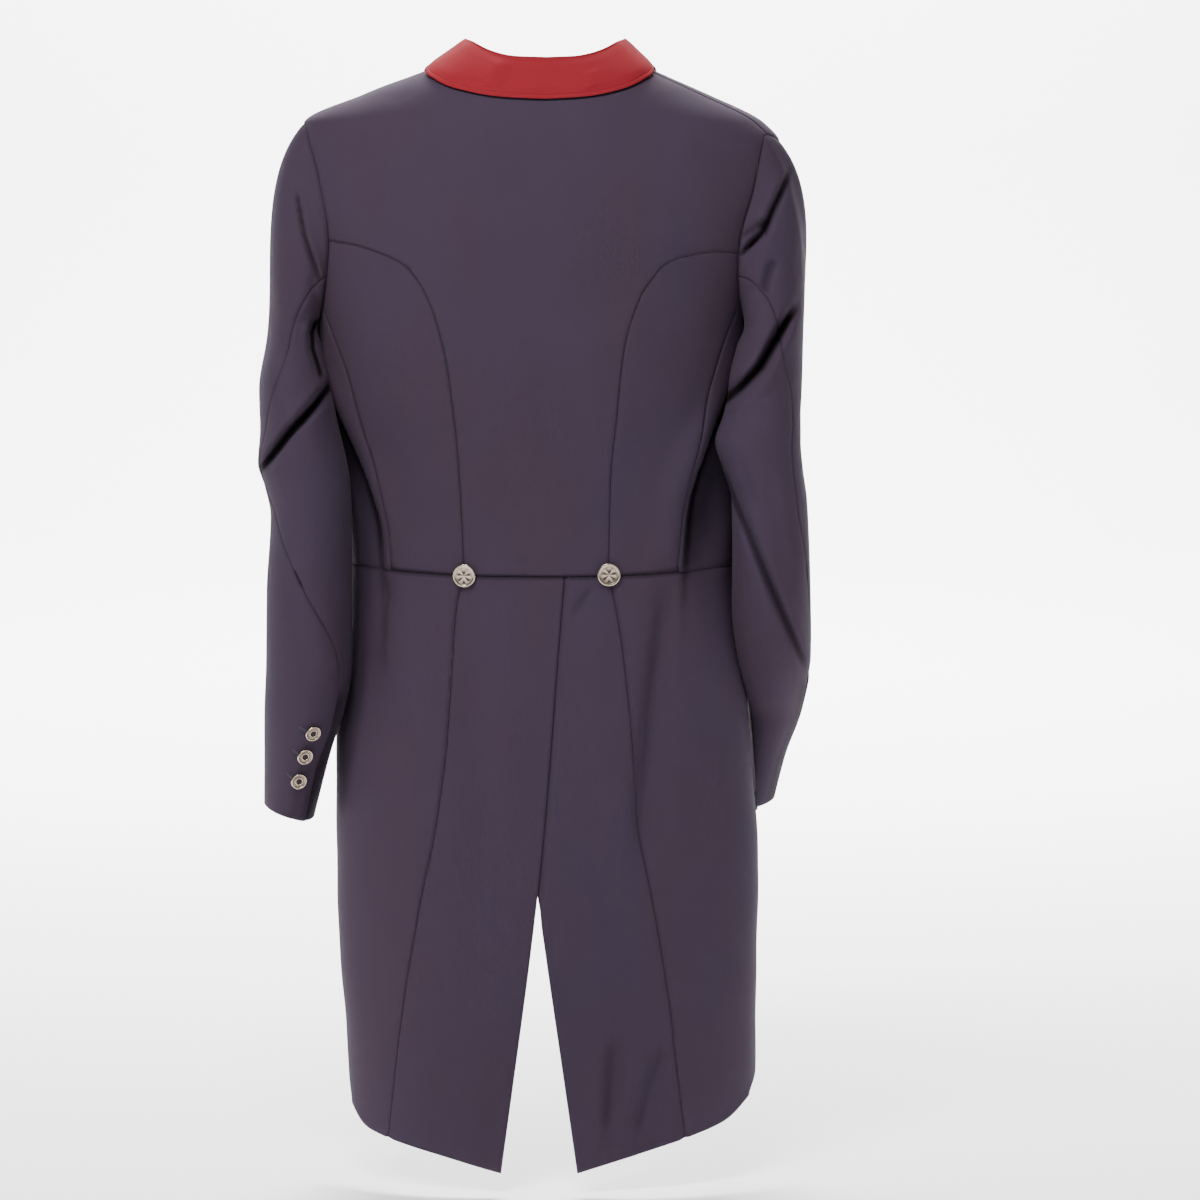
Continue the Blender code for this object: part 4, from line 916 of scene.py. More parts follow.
def ends_at_waist(points):
    """A seam's points with the first one put on the waist seam."""
    points = points.copy()
    points[0, 1] = waist_z(points[0, 0])
    return points


def princess(side):
    """The seam from the waist up to the turn, and from the turn to the armhole."""
    upright = ends_at_waist(on_body(along(PRINCESS_UPRIGHT[side], PRINCESS_ROWS)))
    end = armhole(side, ARM_TURNS[side][1])
    top = on_body(along(PRINCESS_TOP[side], PRINCESS_STEPS * FINER))
    shares = np.linspace(0, 1, len(top))[:, None] ** 2
    top = top + shares * (end - top[-1])
    return upright, top[::FINER]


def side_seam(side):
    """The seam from the waist to the armhole."""
    end = armhole(side, ARM_TURNS[side][3])
    seam = on_body(along(SIDE_SEAM[side], SIDE_ROWS * FINER))
    shares = np.linspace(0, 1, len(seam))[:, None] ** 3
    seam = seam + shares * (end - seam[-1])
    return ends_at_waist(seam[::FINER])


def shoulder_seam(side):
    """The seam from the tip of the shoulder to the neck."""
    sign = SIGN[side]
    angle = sign * SHOULDER_SEAM[side]
    heights = np.linspace(ARMHOLE_TOP_Z[side], neck_z(angle), SHOULDER_STEPS + 1)
    return np.stack([np.full(len(heights), angle), heights], axis=-1)


def at_armhole(side, grid, points, normals):
    """Swaps in the shared directions wherever a grid lies on the armhole seam."""
    for turn in ladder(ARM_TURNS[side], ARM_COUNTS):
        spot = armhole(side, turn)
        on_seam = np.linalg.norm(grid - spot, axis=-1) < CLOSE
        normals[on_seam] = armhole_directions(side, turn)
    return points, normals


def body_patch(grid, lift=None):
    """A grid's points and directions, with the shared directions at both armholes."""
    points, normals = body_grid(grid, lift)
    for side in SIDES:
        points, normals = at_armhole(side, grid, points, normals)
    return points, normals


def in_space(line):
    """A line of (angle, height) as points on the body."""
    return body_point(line[:, 0], line[:, 1])


def seam_lines(side):
    """The seams of one side as lines in space: princess, side, shoulder, armhole and waist."""
    upright, top = princess(side)
    arm = armhole(side, arm_turns(side, "tip", "end"))
    sign = SIGN[side]
    waist = waist_between(0, sign * 178, 12 * K)
    lines = (upright, top, side_seam(side), shoulder_seam(side), arm, waist)
    return [in_space(line) for line in lines]


BODY_SEAMS = seam_lines("left") + seam_lines("right")
print("seam lengths (mm):", [int(way_along(seam)[-1]) for seam in BODY_SEAMS])

# %% [markdown]
# The back is one panel with no seam down its middle. It is as wide as the distance between the
# princess seams below, and above their turn it reaches from armhole to armhole.

# %% Back
def back_neck_angles():
    """Where the back's neck edge has its points, from one shoulder seam to the other."""
    return np.linspace(-SHOULDER_SEAM["right"], SHOULDER_SEAM["left"], NECK_COLUMNS + 1)


def make_back():
    """Two patches that share the row between the turns of the princess seams."""
    left_up, left_top = princess("left")
    right_up, right_top = princess("right")
    row = np.linspace(right_up[-1], left_up[-1], BACK_COLUMNS + 1)
    row[:, 1] += 12 * np.sin(np.linspace(0, np.pi, BACK_COLUMNS + 1))
    low = coons(waist_between(right_up[0, 0], left_up[0, 0], BACK_COLUMNS), row, right_up, left_up)
    bottom = np.concatenate([right_top[::-1], row[1:-1], left_top])
    edges = []
    for side in ("right", "left"):
        arm = armhole(side, arm_turns(side, "tip", "princess"))[::-1]
        edges.append(np.concatenate([arm, shoulder_seam(side)[1:]]))
    angles = back_neck_angles()
    neck = np.stack([angles, neck_z(angles)], axis=-1)
    high = evened(coons(bottom, neck, edges[0], edges[1]))
    return shell("back_panel", [body_patch(low), body_patch(high)], BODY_SEAMS, (COAT, LINING), side_shade)


def make_side_back(side):
    """The panel between the princess seam, the armhole and the side seam."""
    upright, top = princess(side)
    seam = side_seam(side)
    arm = armhole(side, arm_turns(side, "princess", "side"))[::-1]
    outer = np.concatenate([seam, arm[1:]])
    grid = coons(waist_between(upright[0, 0], seam[0, 0], PRINCESS_STEPS), top, upright, outer)
    return shell(f"side_back_{side}_panel", [body_patch(grid)], BODY_SEAMS, (COAT, LINING), side_shade)


PIECES = {"back": make_back()}
for side in SIDES:
    PIECES[f"side_back_{side}"] = make_side_back(side)

# %% [markdown]
# The fronts cross at the middle, the right one on top, and close with three buttons. Above the
# break the edge rolls back as a lapel, and below the waist seam each front ends in a shallow point.

# %% Fronts
FRONT_EDGE_X = {"left": -3, "right": 17}
BREAK_Z = {"left": -292, "right": -292}
FRONT_OVERLAP_STEP = 2.9
ROLL_STEPS = 4 * K
FRONT_NECK_STEPS = 4 * K
FRONT_SHARES = ladder((0, 0.3, 0.58, 0.8, 0.9, 1), (K,) * 5)


def roll_line(side, shares):
    """The line on which the lapel turns back, at shares of its way from the break to the neck edge."""
    sign = SIGN[side]
    angle, height = NECK_LINE[-1]
    low = np.array((FRONT_EDGE_X[side], BREAK_Z[side]), float)
    high = np.array((body_point(sign * angle, height)[0], height))
    return low + (high - low) * np.asarray(shares, float)[:, None]


def front_lift(side):
    """The right front lies on the left one where they cross."""

    def lift(angle, height):
        if side == "left":
            return 0.0 * angle
        past = np.abs(angle) - 180
        return FRONT_OVERLAP_STEP * step((past + 14) / 8) * step((-205 - height) / 38)

    return lift


def front_neck_angles(side):
    """Where the front's neck edge has its points, from the roll line to the shoulder seam."""
    return np.linspace(NECK_LINE[-1][0], SHOULDER_SEAM[side], FRONT_NECK_STEPS + 1)


def make_front(side):
    """Two patches that share a row from the armhole to the roll line."""
    sign = SIGN[side]
    seam = side_seam(side)
    heights = np.linspace(WAIST_Z - WAIST_POINT, BREAK_Z[side], 4 * K + 1)
    edge = on_body(np.stack([np.full(len(heights), FRONT_EDGE_X[side]), heights], axis=-1), sign)
    roll = on_body(roll_line(side, ladder((0, 0.3, 1), (2 * K, ROLL_STEPS))), sign)
    low_edge = np.concatenate([edge, roll[1 : 2 * K + 1]])
    arm_foot = armhole(side, arm_turns(side, "side", "chest"))
    chest = arm_foot[-1] + FRONT_SHARES[:, None] * (roll[2 * K] - arm_foot[-1])
    corner = sign * TAIL_FRONT_ANGLE
    near_side = waist_between(seam[0, 0], corner, len(arm_foot) - 1)
    angles = corner + FRONT_SHARES * (edge[0, 0] - corner)
    rest = np.stack([angles, waist_z(angles)], axis=-1)
    rest[-1] = edge[0]
    bottom = np.concatenate([near_side, rest[1:]])
    low = coons(bottom, np.concatenate([arm_foot, chest[1:]]), seam, low_edge)
    angles = front_neck_angles(side)[1:]
    neck = np.stack([sign * angles, neck_z(angles)], axis=-1)
    arm = armhole(side, arm_turns(side, "chest", "end"))
    high = coons(chest, shoulder_seam(side), arm, np.concatenate([roll[2 * K :], neck]))
    lift = front_lift(side)
    seams = seam_lines(side)[:-1]
    patches = [body_patch(low, lift), body_patch(high, lift)]
    return shell(f"front_{side}_panel", patches, seams, (COAT, LINING), side_shade)


for side in SIDES:
    PIECES[f"front_{side}"] = make_front(side)

# %% [markdown]
# The lapel is the front's own edge turned back on it, widest at its peak. Its points are the
# front's points, moved out by a little more than the cloth's thickness.

# %% Lapels
LAPEL_TOP = ((49, -54), (66, -68), (84, -82), (101, -84), (119, -85))
LAPEL_OUTER = ((119, -85), (108, -130), (80, -188))
LAPEL_FOOT_Z = {"left": -236, "right": -284}
LAPEL_FOOT_WIDTH = 8
LAPEL_LIFT = 2.9
LAPEL_ROWS = 8 * K


def make_lapel(side):
    """The front's roll line on its inner side, the lapel's own outline on the others."""
    sign = SIGN[side]
    heights = np.array((LAPEL_FOOT_Z[side], LAPEL_TOP[0][1]))
    shares = (heights - BREAK_Z[side]) / (NECK_LINE[-1][1] - BREAK_Z[side])
    inner = roll_line(side, np.linspace(shares[0], shares[1], LAPEL_ROWS + 1))
    flip = np.array((sign, 1.0))
    top = along(np.concatenate([[inner[-1]], (np.array(LAPEL_TOP, float) * flip)[1:]]), 4 * K)
    foot_out = inner[0] + flip * (LAPEL_FOOT_WIDTH, 0)
    outer = along(np.concatenate([[foot_out], (np.array(LAPEL_OUTER, float) * flip)[::-1]]), LAPEL_ROWS)
    grid = on_body(coons(np.linspace(inner[0], foot_out, len(top)), top, inner, outer), sign)
    lift = front_lift(side)
    patch = body_grid(grid, lambda angle, height: LAPEL_LIFT + lift(angle, height))
    return shell(f"lapel_{side}_panel", [patch], [], (COAT, COAT))


for side in SIDES:
    PIECES[f"lapel_{side}"] = make_lapel(side)

# %% [markdown]
# The collar is the coat's one bright piece, of red facing cloth. It stands up from the neck edge,
# turns over in a round fold and falls on the back. Where it was folded for the rail it still has two
# soft dents beside the middle.

# %% Collar
# Each row is an angle of the neck edge, the x, y and z of the fold above it, and the angle and
# height at which the falling edge ends.
COLLAR = (
    (0, 0, 51, -9, 0, -45), (12, 26, 48, -8, 11, -43), (27, 48, 37, -3, 26, -37),
    (52, 64, 18, 5, 50, -27), (88, 71, -5, 8, 88, -19), (139, 71, -40, -4, 144, -40),
    (164, 56, -72, -36, 158, -74),
)
COLLAR_LIFT = 3.4
COLLAR_GAP = 0.8
STITCH_AT = 0.93
STITCH_WIDE = 0.013
STITCH_DIP = 0.4
COLLAR_FOLDS = (
    (1.6, 7, 2.2, ((24, -16), (32, -30), (37, -40))),
    (-1.3, 7, 0, ((-36, -18), (-42, -36))),
)


def collar_lines(angle):
    """The seam, the folded top and the falling edge at an angle of the neck edge. The seam stands
    on the neck edge, and the falling edge lies a little off the body."""
    sign = np.where(angle < 0, -1.0, 1.0)
    height = neck_z(angle)
    middle = body_point(angle, height, -CLOTH / 2)
    inward = unit(body_point(angle, height + 1) - body_point(angle, height))
    fold_x, fold_y, fold_z, edge_angle, edge_z = columns(COLLAR, np.abs(angle), 1, 2, 3, 4, 5)
    fold = np.stack([sign * fold_x, fold_y, fold_z], axis=-1)
    edge_angle = sign * edge_angle
    edge = body_point(edge_angle, edge_z) + COLLAR_LIFT * surface_normals(body_point, edge_angle, edge_z)
    rise = unit(fold - middle)
    corner = np.linalg.norm(np.cross(rise, inward), axis=-1, keepdims=True)
    middle = middle + (COLLAR_GAP + CLOTH / 2 * corner) * inward
    around = unit(body_point(angle + 1, neck_z(angle + 1)) - body_point(angle - 1, neck_z(angle - 1)))
    seam = middle + CLOTH / 2 * unit(np.cross(around, rise))
    return seam, fold, edge


def collar_point(angle, way):
    """A point of the collar: way 0 to 1 stands up from the seam to the folded top, and 1 to 2
    falls from it, bowed out a little, with a round turn between them."""
    seam, fold, edge = collar_lines(angle)
    way = np.asarray(way)[..., None]
    up, fall = np.clip(way, 0, 1), np.clip(way - 1, 0, 1)
    point = seam + (fold - seam) * up + (edge - fold) * fall
    outward = unit((edge - seam) * np.array((1, 1, 0)))
    behind = step((80 - np.abs(angle)) / 45)[..., None]
    bow = 2.0 * behind * np.sin(np.pi * fall)
    bow = bow + (1.2 + 1.6 * behind) * step(fall / 0.2) * (1 - step((fall - 0.7) / 0.3))
    bow = bow - STITCH_DIP * np.exp(-(((fall - STITCH_AT) / STITCH_WIDE) ** 2))
    rise = (0.6 + 0.8 * behind) * np.exp(-(((way - 1.05) / 0.1) ** 2))
    for depth, width, ridge, line in COLLAR_FOLDS:
        move = crease(point[..., 0], point[..., 2], line, depth, width, ridge)
        on_back = (move * (point[..., 1] > 0))[..., None]
        bow = bow + on_back * step(fall / 0.2) * (1 - step((fall - 0.72) / 0.28))
    return point + outward * bow + rise * np.array((0, 0, 1.0))


def make_collar():
    """One grid that runs round the neck and from the seam over the fold to the falling edge."""
    right = -front_neck_angles("right")[:-1]
    left = front_neck_angles("left")[::-1][1:]
    angles = np.concatenate([right, back_neck_angles(), left])[None, :]
    ways = ladder((0, 0.88, 1.12, 1.86, 2.0), (8, 12, 22, 14))[:, None]
    angle, way = np.broadcast_arrays(angles, ways)
    normals = -surface_normals(collar_point, angle, way, (0.5, 0.01))
    return shell("collar_panel", [(collar_point(angle, way), normals)], [], (RED, RED))


PIECES["collar"] = make_collar()

# %% [markdown]
# Two long tails hang from the waist seam. The left one laps over the right one at the vent in the
# middle of the back, and each is cut in two by a pleat seam that carries on from the princess seam.

# %% Tails
PLEAT_SEAM = {
    "left": (
        (71, -464), (78, -488), (82, -538), (87, -613), (99, -696), (115, -774), (127, -850),
        (141, -968),
    ),
    "right": (
        (-56, -464), (-63, -495), (-69, -540), (-76, -613), (-86, -696), (-99, -774), (-111, -850),
        (-124, -965),
    ),
}
VENT_EDGE = {
    "left": ((-16, -464), (-11, -524), (-3, -629), (7, -739), (40, -992)),
    "right": ((45, -464), (37, -524), (22, -629), (7, -739), (-29, -992)),
}
HEM = {
    "left": ((40, -992), (88, -980), (141, -968), (163, -961), (176, -947)),
    "right": ((-29, -992), (-80, -977), (-124, -965), (-161, -954), (-183, -938)),
}
TAIL_CORNER_Z = -912
UNDERLAP_STEP = 2.8
TAIL_ROWS = 17 * K
TAIL_COLUMNS = 6 * K


def tail_lift(side):
    """The right tail lies under the left one where they lap at the vent."""

    def lift(angle, height):
        if side == "left":
            return 0.0 * angle
        x = body_point(angle, height)[..., 0]
        edge = smooth(height, [z for _, z in VENT_EDGE["left"]], [x for x, _ in VENT_EDGE["left"]])
        return -UNDERLAP_STEP * step((x - edge + 7) / 5)

    return lift


def pleat_line(side):
    """The pleat seam from the waist down to the hem."""
    return ends_at_waist(on_body(along(PLEAT_SEAM[side], TAIL_ROWS)))


def make_tail_back(side):
    """The panel between the vent and the pleat seam."""
    pleat = pleat_line(side)
    vent = ends_at_waist(on_body(along(VENT_EDGE[side], TAIL_ROWS)))
    top = waist_between(vent[0, 0], pleat[0, 0], TAIL_COLUMNS)
    hem = on_body(along(HEM[side][:3], TAIL_COLUMNS))
    hem[-1] = pleat[-1]
    hem[0] = vent[-1]
    patch = body_grid(coons(top, hem, vent, pleat), tail_lift(side))
    seams = [in_space(pleat), in_space(top)]
    return shell(f"tail_back_{side}_panel", [patch], seams, (COAT, LINING))


def make_tail_side(side):
    """The panel between the pleat seam and the tail's front edge."""
    sign = SIGN[side]
    pleat = pleat_line(side)
    hem = on_body(along(HEM[side][2:], TAIL_COLUMNS))
    hem[0] = pleat[-1]
    corner = hem[-1]
    heights = corner[1] + (waist_z(TAIL_FRONT_ANGLE) - corner[1]) * np.linspace(0, 1, TAIL_ROWS + 1)
    turned = step((heights - corner[1]) / (TAIL_CORNER_Z - corner[1]))
    angles = np.abs(corner[0]) + (90 - np.abs(corner[0])) * turned
    above = (heights - TAIL_CORNER_Z) / (heights[-1] - TAIL_CORNER_Z)
    angles += (TAIL_FRONT_ANGLE - 90) * np.clip(above, 0, 1) ** 2
    front = np.stack([sign * angles, heights], axis=-1)[::-1]
    top = waist_between(pleat[0, 0], sign * TAIL_FRONT_ANGLE, TAIL_COLUMNS)
    seams = [in_space(pleat), in_space(top)]
    patch = body_grid(coons(top, hem, pleat, front))
    return shell(f"tail_side_{side}_panel", [patch], seams, (COAT, LINING), side_shade)


for side in SIDES:
    PIECES[f"tail_back_{side}"] = make_tail_back(side)
    PIECES[f"tail_side_{side}"] = make_tail_side(side)

# %% [markdown]
# A tailored sleeve has two parts, an upper one and an under one. The hind seam between them wanders
# over the back of the arm as the sleeve twists, and it ends in the vent of the cuff.

# %% Sleeves
VENT_WAY = 1.7
CUFF_LIP = {"under": -1.8, "upper": 1.8}
# Painted shade beside the cuff's vent: each is a half width and an amount.
CUFF_SHADES = ((7, 0.5), (1.6, 1.0))
HOLLOW_SHARE = 0.62


def sleeve_patch(side, turns, ways, seams, part):
    """A grid between two seams of the sleeve, whose columns keep their share of the way between
    them, with the armhole's shared directions on its first row. At the vent of the cuff the upper
    sleeve's edge lifts and the under sleeve's edge sinks beneath it."""
    share = (turns - turns[0]) / (turns[-1] - turns[0])
    first, last = seams
    turn = first[:, None] + (last - first)[:, None] * share[None, :]
    turn[0] = turns
    way = np.broadcast_to(ways[:, None], turn.shape)
    normals = SIGN[side] * surface_normals(partial(sleeve_point, side), turn, way, (0.5, 0.004))
    normals[0] = armhole_directions(side, turns)
    from_hind = share if part == "under" else 1 - share
    lip = CUFF_LIP[part] * step((way - VENT_WAY) / 0.03) * step((0.1 - from_hind) / 0.08)
    return sleeve_point(side, turn, way) + lip[..., None] * normals, normals


def make_sleeve(side):
    """Both parts of a sleeve. Each gets painted shade in its deep creases, and the under sleeve gets it
    beside the cuff's vent too, where the upper sleeve's edge lies over it."""
    ways = ladder((0, 0.5, 1, 1.36, 2), (26, 56, 92, 62))
    hind = seam_turn(side, ways)
    hind[0] = ARM_TURNS[side][2]
    fore = np.full(len(ways), float(FORE_SEAM_ANGLE))
    closed = ways < VENT_WAY
    seams = [sleeve_point(side, hind[closed], ways[closed]), sleeve_point(side, fore, ways)]
    seams.append(seam_lines(side)[ARMHOLE_LINE])
    hollows = []
    for facing, _, width, _, amount, line in SLEEVE_FOLDS[side]:
        hollows.append((facing, HOLLOW_SHARE * width, amount, line))
    vent = sleeve_point(side, hind, ways)[~closed][::4][:, [0, 2]]
    vent = np.concatenate([vent, vent[-1:] + 3 * (vent[-1:] - vent[-2:-1])])
    tucked = hollows + [(1, half, amount, vent) for half, amount in CUFF_SHADES]
    under = arm_turns(side, "hind", "fore")
    upper = np.concatenate([arm_turns(side, "fore", "end") - 360, arm_turns(side, "tip", "hind")[1:]])
    parts = (("under", under, (hind, fore), tucked), ("upper", upper, (fore - 360, hind), hollows))
    for part, turns, edges, dark in parts:
        patch = sleeve_patch(side, turns, ways, edges, part)
        shade = partial(hollow_shade, hollows=dark)
        name = f"{part}_sleeve_{side}"
        PIECES[name] = shell(f"{name}_panel", [patch], seams, (COAT, LINING), shade)


for side in SIDES:
    make_sleeve(side)

# %% [markdown]
# The buttons are turned from a pale metal: two large flat ones on the waist seam, three smaller
# dished ones on each cuff, and three on the front. A lathe profile makes them, a curve spun round an
# axis. A little rosette is cut into the large ones. Old metal is dark where it can't be rubbed, so the
# button's mesh carries a number from 0 to 1 at each point, its patina, and the metal reads it.

# %% Button metal
def metal_material():
    """Cloudy pale metal, which the mesh's patina turns nearly black."""
    material, tree, shader = new_material("pale_metal", {"Metallic": 1.0})
    where = node(tree, "TexCoord")
    patina = node(tree, "Attribute", attribute_name="patina")
    cloudy = node(tree, "TexNoise", {"Vector": where["Object"], "Scale": 420.0, "Detail": 4.0})
    tones = {"Factor": cloudy["Fac"], "A": (0.44, 0.35, 0.28, 1), "B": (0.60, 0.49, 0.40, 1)}
    tone = node(tree, "Mix", tones, data_type="RGBA")
    darker = {"Factor": patina["Fac"], "A": tone["Result"], "B": (0.035, 0.03, 0.035, 1)}
    dark = node(tree, "Mix", darker, data_type="RGBA")
    rough = node(tree, "MapRange", {"Value": cloudy["Fac"], "To Min": 0.16, "To Max": 0.32})
    bump = node(tree, "Bump", {"Height": cloudy["Fac"], "Strength": 0.15, "Distance": 0.0001})
    tree.links.new(dark["Result"], shader["Base Color"])
    tree.links.new(rough[0], shader["Roughness"])
    tree.links.new(bump["Normal"], shader["Normal"])
    return material


METAL = metal_material()
print("metal:", METAL.name)

# %% Closed forms from a grid
METAL_SHARP = 0.9


def closed_form(name, grid, material, patina=None):
    """A closed mesh from a grid whose columns go once round and whose first and last rows are
    points: the last column is the first one again, and each end is one corner of its faces."""
    rows, count = grid.shape[:2]
    index = np.arange(rows * count).reshape(rows, count)
    index[:, -1] = index[:, 0]
    index[0], index[-1] = index[0, 0], index[-1, 0]
    quads = cells(index)[:, [0, 3, 2, 1]]
    used, corners = np.unique(quads, return_inverse=True)
    quads = corners.reshape(-1, 4)
    points = grid.reshape(-1, 3)[used]
    one, two, three, four = (points[quads[:, i]] for i in range(4))
    if np.einsum("ij,ij->", np.cross(three - one, four - two), one - points.mean(axis=0)) < 0:
        quads = quads[:, ::-1]
    mesh = bpy.data.meshes.new(name)
    mesh.from_pydata((points * MM).tolist(), [], [list(dict.fromkeys(quad)) for quad in quads.tolist()])
    if patina is not None:
        point_values(mesh, "patina", patina.reshape(-1)[used])
    mesh.materials.append(material)
    mesh.shade_smooth()
    mesh.set_sharp_from_angle(angle=METAL_SHARP)
    return placed(name, mesh)


# %% Buttons
FLAT_PROFILE = (
    (0, 0), (0.84, 0.0), (0.97, 0.18), (1.0, 0.45), (0.98, 0.8), (0.93, 0.98), (0.86, 1.0), (0.8, 0.93),
    (0.74, 0.84), (0.4, 0.86), (0, 0.9),
)
RING_PROFILE = (
    (0, 0), (0.84, 0.0), (0.97, 0.2), (1.0, 0.5), (0.97, 0.85), (0.9, 1.0), (0.81, 0.92), (0.72, 0.5),
    (0.6, 0.45), (0.5, 0.8), (0.4, 0.84), (0.3, 0.3), (0, 0.2),
)
TAIL_BUTTON = {"radius": 10.5, "thick": 3.0, "profile": FLAT_PROFILE, "petals": 6, "cut": 0.45}
CUFF_BUTTON = {"radius": 7.4, "thick": 2.6, "profile": RING_PROFILE, "petals": 16, "cut": 0.0}
FRONT_BUTTON = {"radius": 9.0, "thick": 2.8, "profile": FLAT_PROFILE, "petals": 6, "cut": 0.4}
TAIL_BUTTON_PLACES = {"left": (71, -463), "right": (-56, -462)}
CUFF_BUTTON_TURN = {"left": 27, "right": 34}
CUFF_BUTTON_ROWS = {"left": (-600, -622, -645), "right": (-609, -631, -653)}
FRONT_BUTTON_PLACES = ((6, -312), (6, -366), (6, -420))
BUTTON_CLEAR = 0.3
FACE_EDGE = 0.74


def make_button(name, place, facing, size):
    """A lathe profile round the facing direction, of (share of the radius, share of the thickness),
    with a rosette cut into its face that has so many petals and such a depth. The patina is dark in
    the petals' hollows and in the groove inside the rim, or in the well of a ring."""
    ring = size["profile"] is RING_PROFILE
    aside = unit(np.cross(facing, (0, 0, 1.0)))
    upward = np.cross(aside, facing)
    rows = along(size["profile"], 64)
    reach, high = rows[:, 0][:, None], rows[:, 1][:, None]
    turn = np.linspace(0, 2 * np.pi, 97)[None, :]
    on_face = (np.arange(len(rows))[:, None] > len(rows) * 0.45) * step((FACE_EDGE - reach) / 0.08)
    petals = 0.5 - 0.5 * np.cos(size["petals"] * turn)
    hollow = on_face * petals * np.sin(np.pi * np.clip(reach / FACE_EDGE, 0, 1)) ** 2
    lift = size["thick"] * high - size["cut"] * hollow
    radius = (size["radius"] * reach + 0 * turn)[..., None]
    grid = place + BUTTON_CLEAR * facing
    grid = grid + radius * (np.cos(turn)[..., None] * aside + np.sin(turn)[..., None] * upward)
    groove = on_face * np.exp(-(((reach - (0.66 if ring else 0.73)) / 0.08) ** 2))
    well = on_face * step((0.36 - reach) / 0.06) * ring
    patina = np.clip(0.3 * hollow * (size["cut"] > 0) + 0.75 * groove + well, 0, 1)
    return closed_form(f"{name}_turned", grid + lift[..., None] * facing, METAL, patina)


def on_sleeve(side, height, offset):
    """A place beside the hind seam of the sleeve, and the way that the cloth faces there."""
    way = np.array([1 + (height - BICEPS_Z) / (CUFF_Z[side] - BICEPS_Z)])
    turn = seam_turn(side, way) - offset
    surface = partial(sleeve_point, side)
    return surface(turn, way)[0], SIGN[side] * surface_normals(surface, turn, way, (1, 0.02))[0]


for side, spot in TAIL_BUTTON_PLACES.items():
    points, normals = body_grid(on_body([spot]))
    name = f"tail_button_{side}"
    PIECES[name] = make_button(name, points[0], normals[0], TAIL_BUTTON)
for side in SIDES:
    for number, height in enumerate(CUFF_BUTTON_ROWS[side], 1):
        place, facing = on_sleeve(side, height, CUFF_BUTTON_TURN[side])
        name = f"cuff_button_{side}_{number}"
        PIECES[name] = make_button(name, place, facing, CUFF_BUTTON)
for number, spot in enumerate(FRONT_BUTTON_PLACES, 1):
    points, normals = body_grid(on_body([spot], -1), front_lift("right"))
    name = f"front_button_{number}"
    PIECES[name] = make_button(name, points[0], normals[0], FRONT_BUTTON)
print("buttons:", sum("button" in name for name in PIECES))

# %% [markdown]
# Outside each cuff button lies its buttonhole: a bar of close stitches in a thread a little bluer than
# the cloth. It is an oval section carried along a short line, and a wave along it stands for the
# stitches that wrap it.

# %% Buttonholes
BUTTONHOLE = {"length": 10.0, "width": 1.7, "height": 0.7, "stitches": 12, "turn": 15, "drop": -2.0}
BUTTONHOLE_LEAN = 6
STITCH_WAVE = 0.16
THREAD = cloth_material(
    "buttonhole_thread", (0.045, 0.045, 0.066), (0.05, 0.048, 0.07),
    ribs=900.0, fuzz=0.5, relief=0.3, rough=0.6, sheen=0.2, tint=(0.7, 0.75, 0.9), fleck=0.2,
)


def make_buttonhole(name, place, facing, run):
    """An oval section carried along the run, thinner at its ends, with one wave for each stitch."""
    along_bar = np.linspace(0, 1, 97)[:, None]
    turn = np.linspace(0, 2 * np.pi, 17)[None, :]
    size = BUTTONHOLE
    full = np.sqrt(np.clip(1 - (2 * along_bar - 1) ** 6, 0, 1))
    wave = full * (1 + STITCH_WAVE * np.cos(2 * np.pi * size["stitches"] * along_bar))
    beside = unit(np.cross(facing, run))
    grid = place + (size["length"] * (along_bar - 0.5) + 0 * turn)[..., None] * run
    grid = grid + (size["width"] / 2 * wave * np.cos(turn))[..., None] * beside
    return closed_form(name, grid + (size["height"] * wave * np.sin(turn))[..., None] * facing, THREAD)


BUTTONHOLES = []
for side in SIDES:
    for number, height in enumerate(CUFF_BUTTON_ROWS[side], 1):
        offset = CUFF_BUTTON_TURN[side] + BUTTONHOLE["turn"]
        place, facing = on_sleeve(side, height - BUTTONHOLE["drop"], offset)
        beyond, _ = on_sleeve(side, height - 2 * BUTTONHOLE["drop"], offset + BUTTONHOLE_LEAN)
        run = beyond - place
        run = unit(run - (run @ facing) * facing)
        BUTTONHOLES.append(make_buttonhole(f"buttonhole_{side}_{number}", place, facing, run))
for piece in BUTTONHOLES:
    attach(piece, "root")
print("buttonholes:", len(BUTTONHOLES))

# %% [markdown]
# Each fine piece now takes the place of its solid and rides on the coat's one body. The tails and
# sleeves hang, and the rest lies over the shape of a wearer.

# %% Places
for name, piece in PIECES.items():
    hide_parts(name)
    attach(piece, "root")
print("pieces:", len(PIECES))

# %% [markdown]
# A plain pale floor that curves up into a wall gives the even background of a studio. The key lamp
# shines from the upper left and shows the folds, one above the coat lights its shoulders, a faint
# one fills the shadows, and the strongest lights the wall alone.

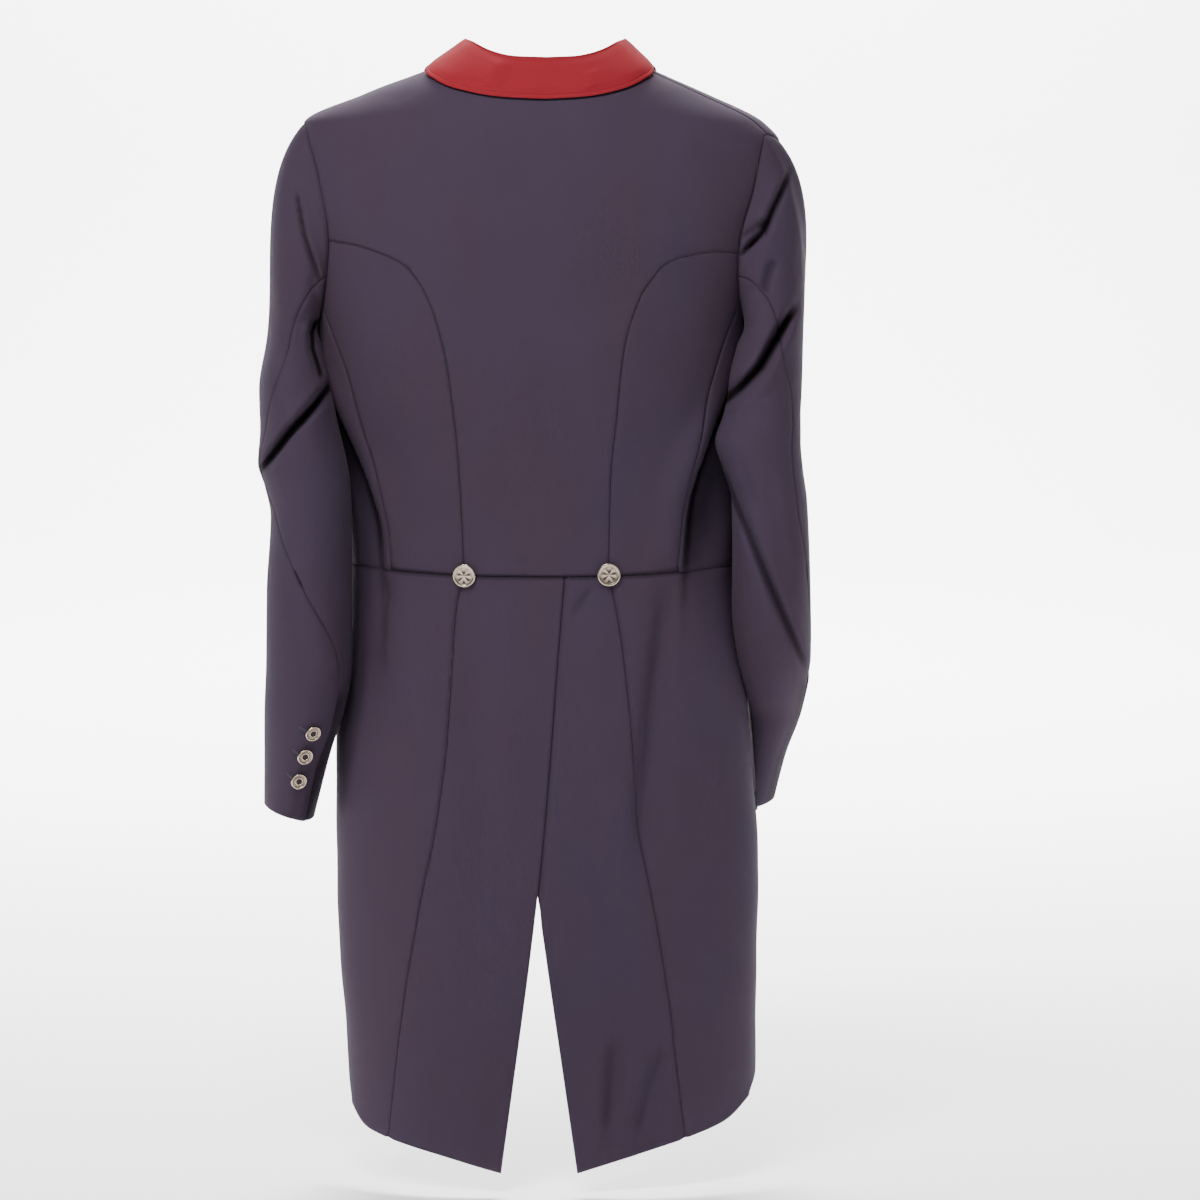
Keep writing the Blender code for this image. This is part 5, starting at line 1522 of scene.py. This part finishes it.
# %% Floor and light
FLOOR_Z = -1.012
FLOOR_FRONT_Y = 6.5
FLOOR_HALF = 7.0
BEND_Y = -5.7
BEND_RADIUS = 0.8
WALL_TOP_Z = 5.0
LIGHTS = (
    # Each is a name, a place, an aim, a size, a power and a colour.
    ("key", (1.8, 2.7, 2.7), (0, 0, -0.45), 0.8, 110, (1.0, 0.98, 0.96)),
    ("top", (0.3, 1.5, 1.9), (0, 0.05, -0.15), 0.7, 60, (1.0, 0.98, 0.98)),
    ("fill", (-2.0, 3.2, 0.8), (0, 0, -0.45), 2.0, 3, (0.95, 0.97, 1.0)),
    ("wall", (0.0, -3.2, 3.2), (0, -5.5, -1.0), 3.0, 1700, (1.0, 1.0, 1.0)),
)


def make_floor():
    """A floor that bends up into a wall behind the coat, as a grid: across, and along its bend."""
    bend = np.linspace(0, np.pi / 2, 17)
    bent = zip(BEND_Y - BEND_RADIUS * np.sin(bend), FLOOR_Z + BEND_RADIUS * (1 - np.cos(bend)))
    profile = [(FLOOR_FRONT_Y, FLOOR_Z), *bent, (BEND_Y - BEND_RADIUS, WALL_TOP_Z)]
    grid = np.array([[(x, y, z) for x in (-FLOOR_HALF, FLOOR_HALF)] for y, z in profile])
    index = np.arange(grid[..., 0].size).reshape(grid.shape[:2])
    mesh = bpy.data.meshes.new("floor")
    mesh.from_pydata(grid.reshape(-1, 3).tolist(), [], cells(index).tolist())
    mesh.shade_smooth()
    material, _, _ = new_material("pale_floor", {"Base Color": (0.9, 0.9, 0.9, 1), "Roughness": 0.9})
    mesh.materials.append(material)
    return placed("floor", mesh)


make_floor()


def make_light(name, place, aim, size, power, colour):
    """A square soft light at a place, turned towards its aim."""
    lamp = bpy.data.lights.new(name, "AREA")
    lamp.size, lamp.energy, lamp.color = size, power, colour
    obj = placed(name, lamp)
    obj.location = place
    obj.rotation_euler = aimed(place, aim)


for light in LIGHTS:
    make_light(*light)
world = bpy.data.worlds.new("studio")
world.use_nodes = True
glow = world.node_tree.nodes["Background"].inputs
glow["Color"].default_value = (0.95, 0.96, 1.0, 1)
glow["Strength"].default_value = 0.18
bpy.context.scene.world = world
print("lights:", [light[0] for light in LIGHTS])
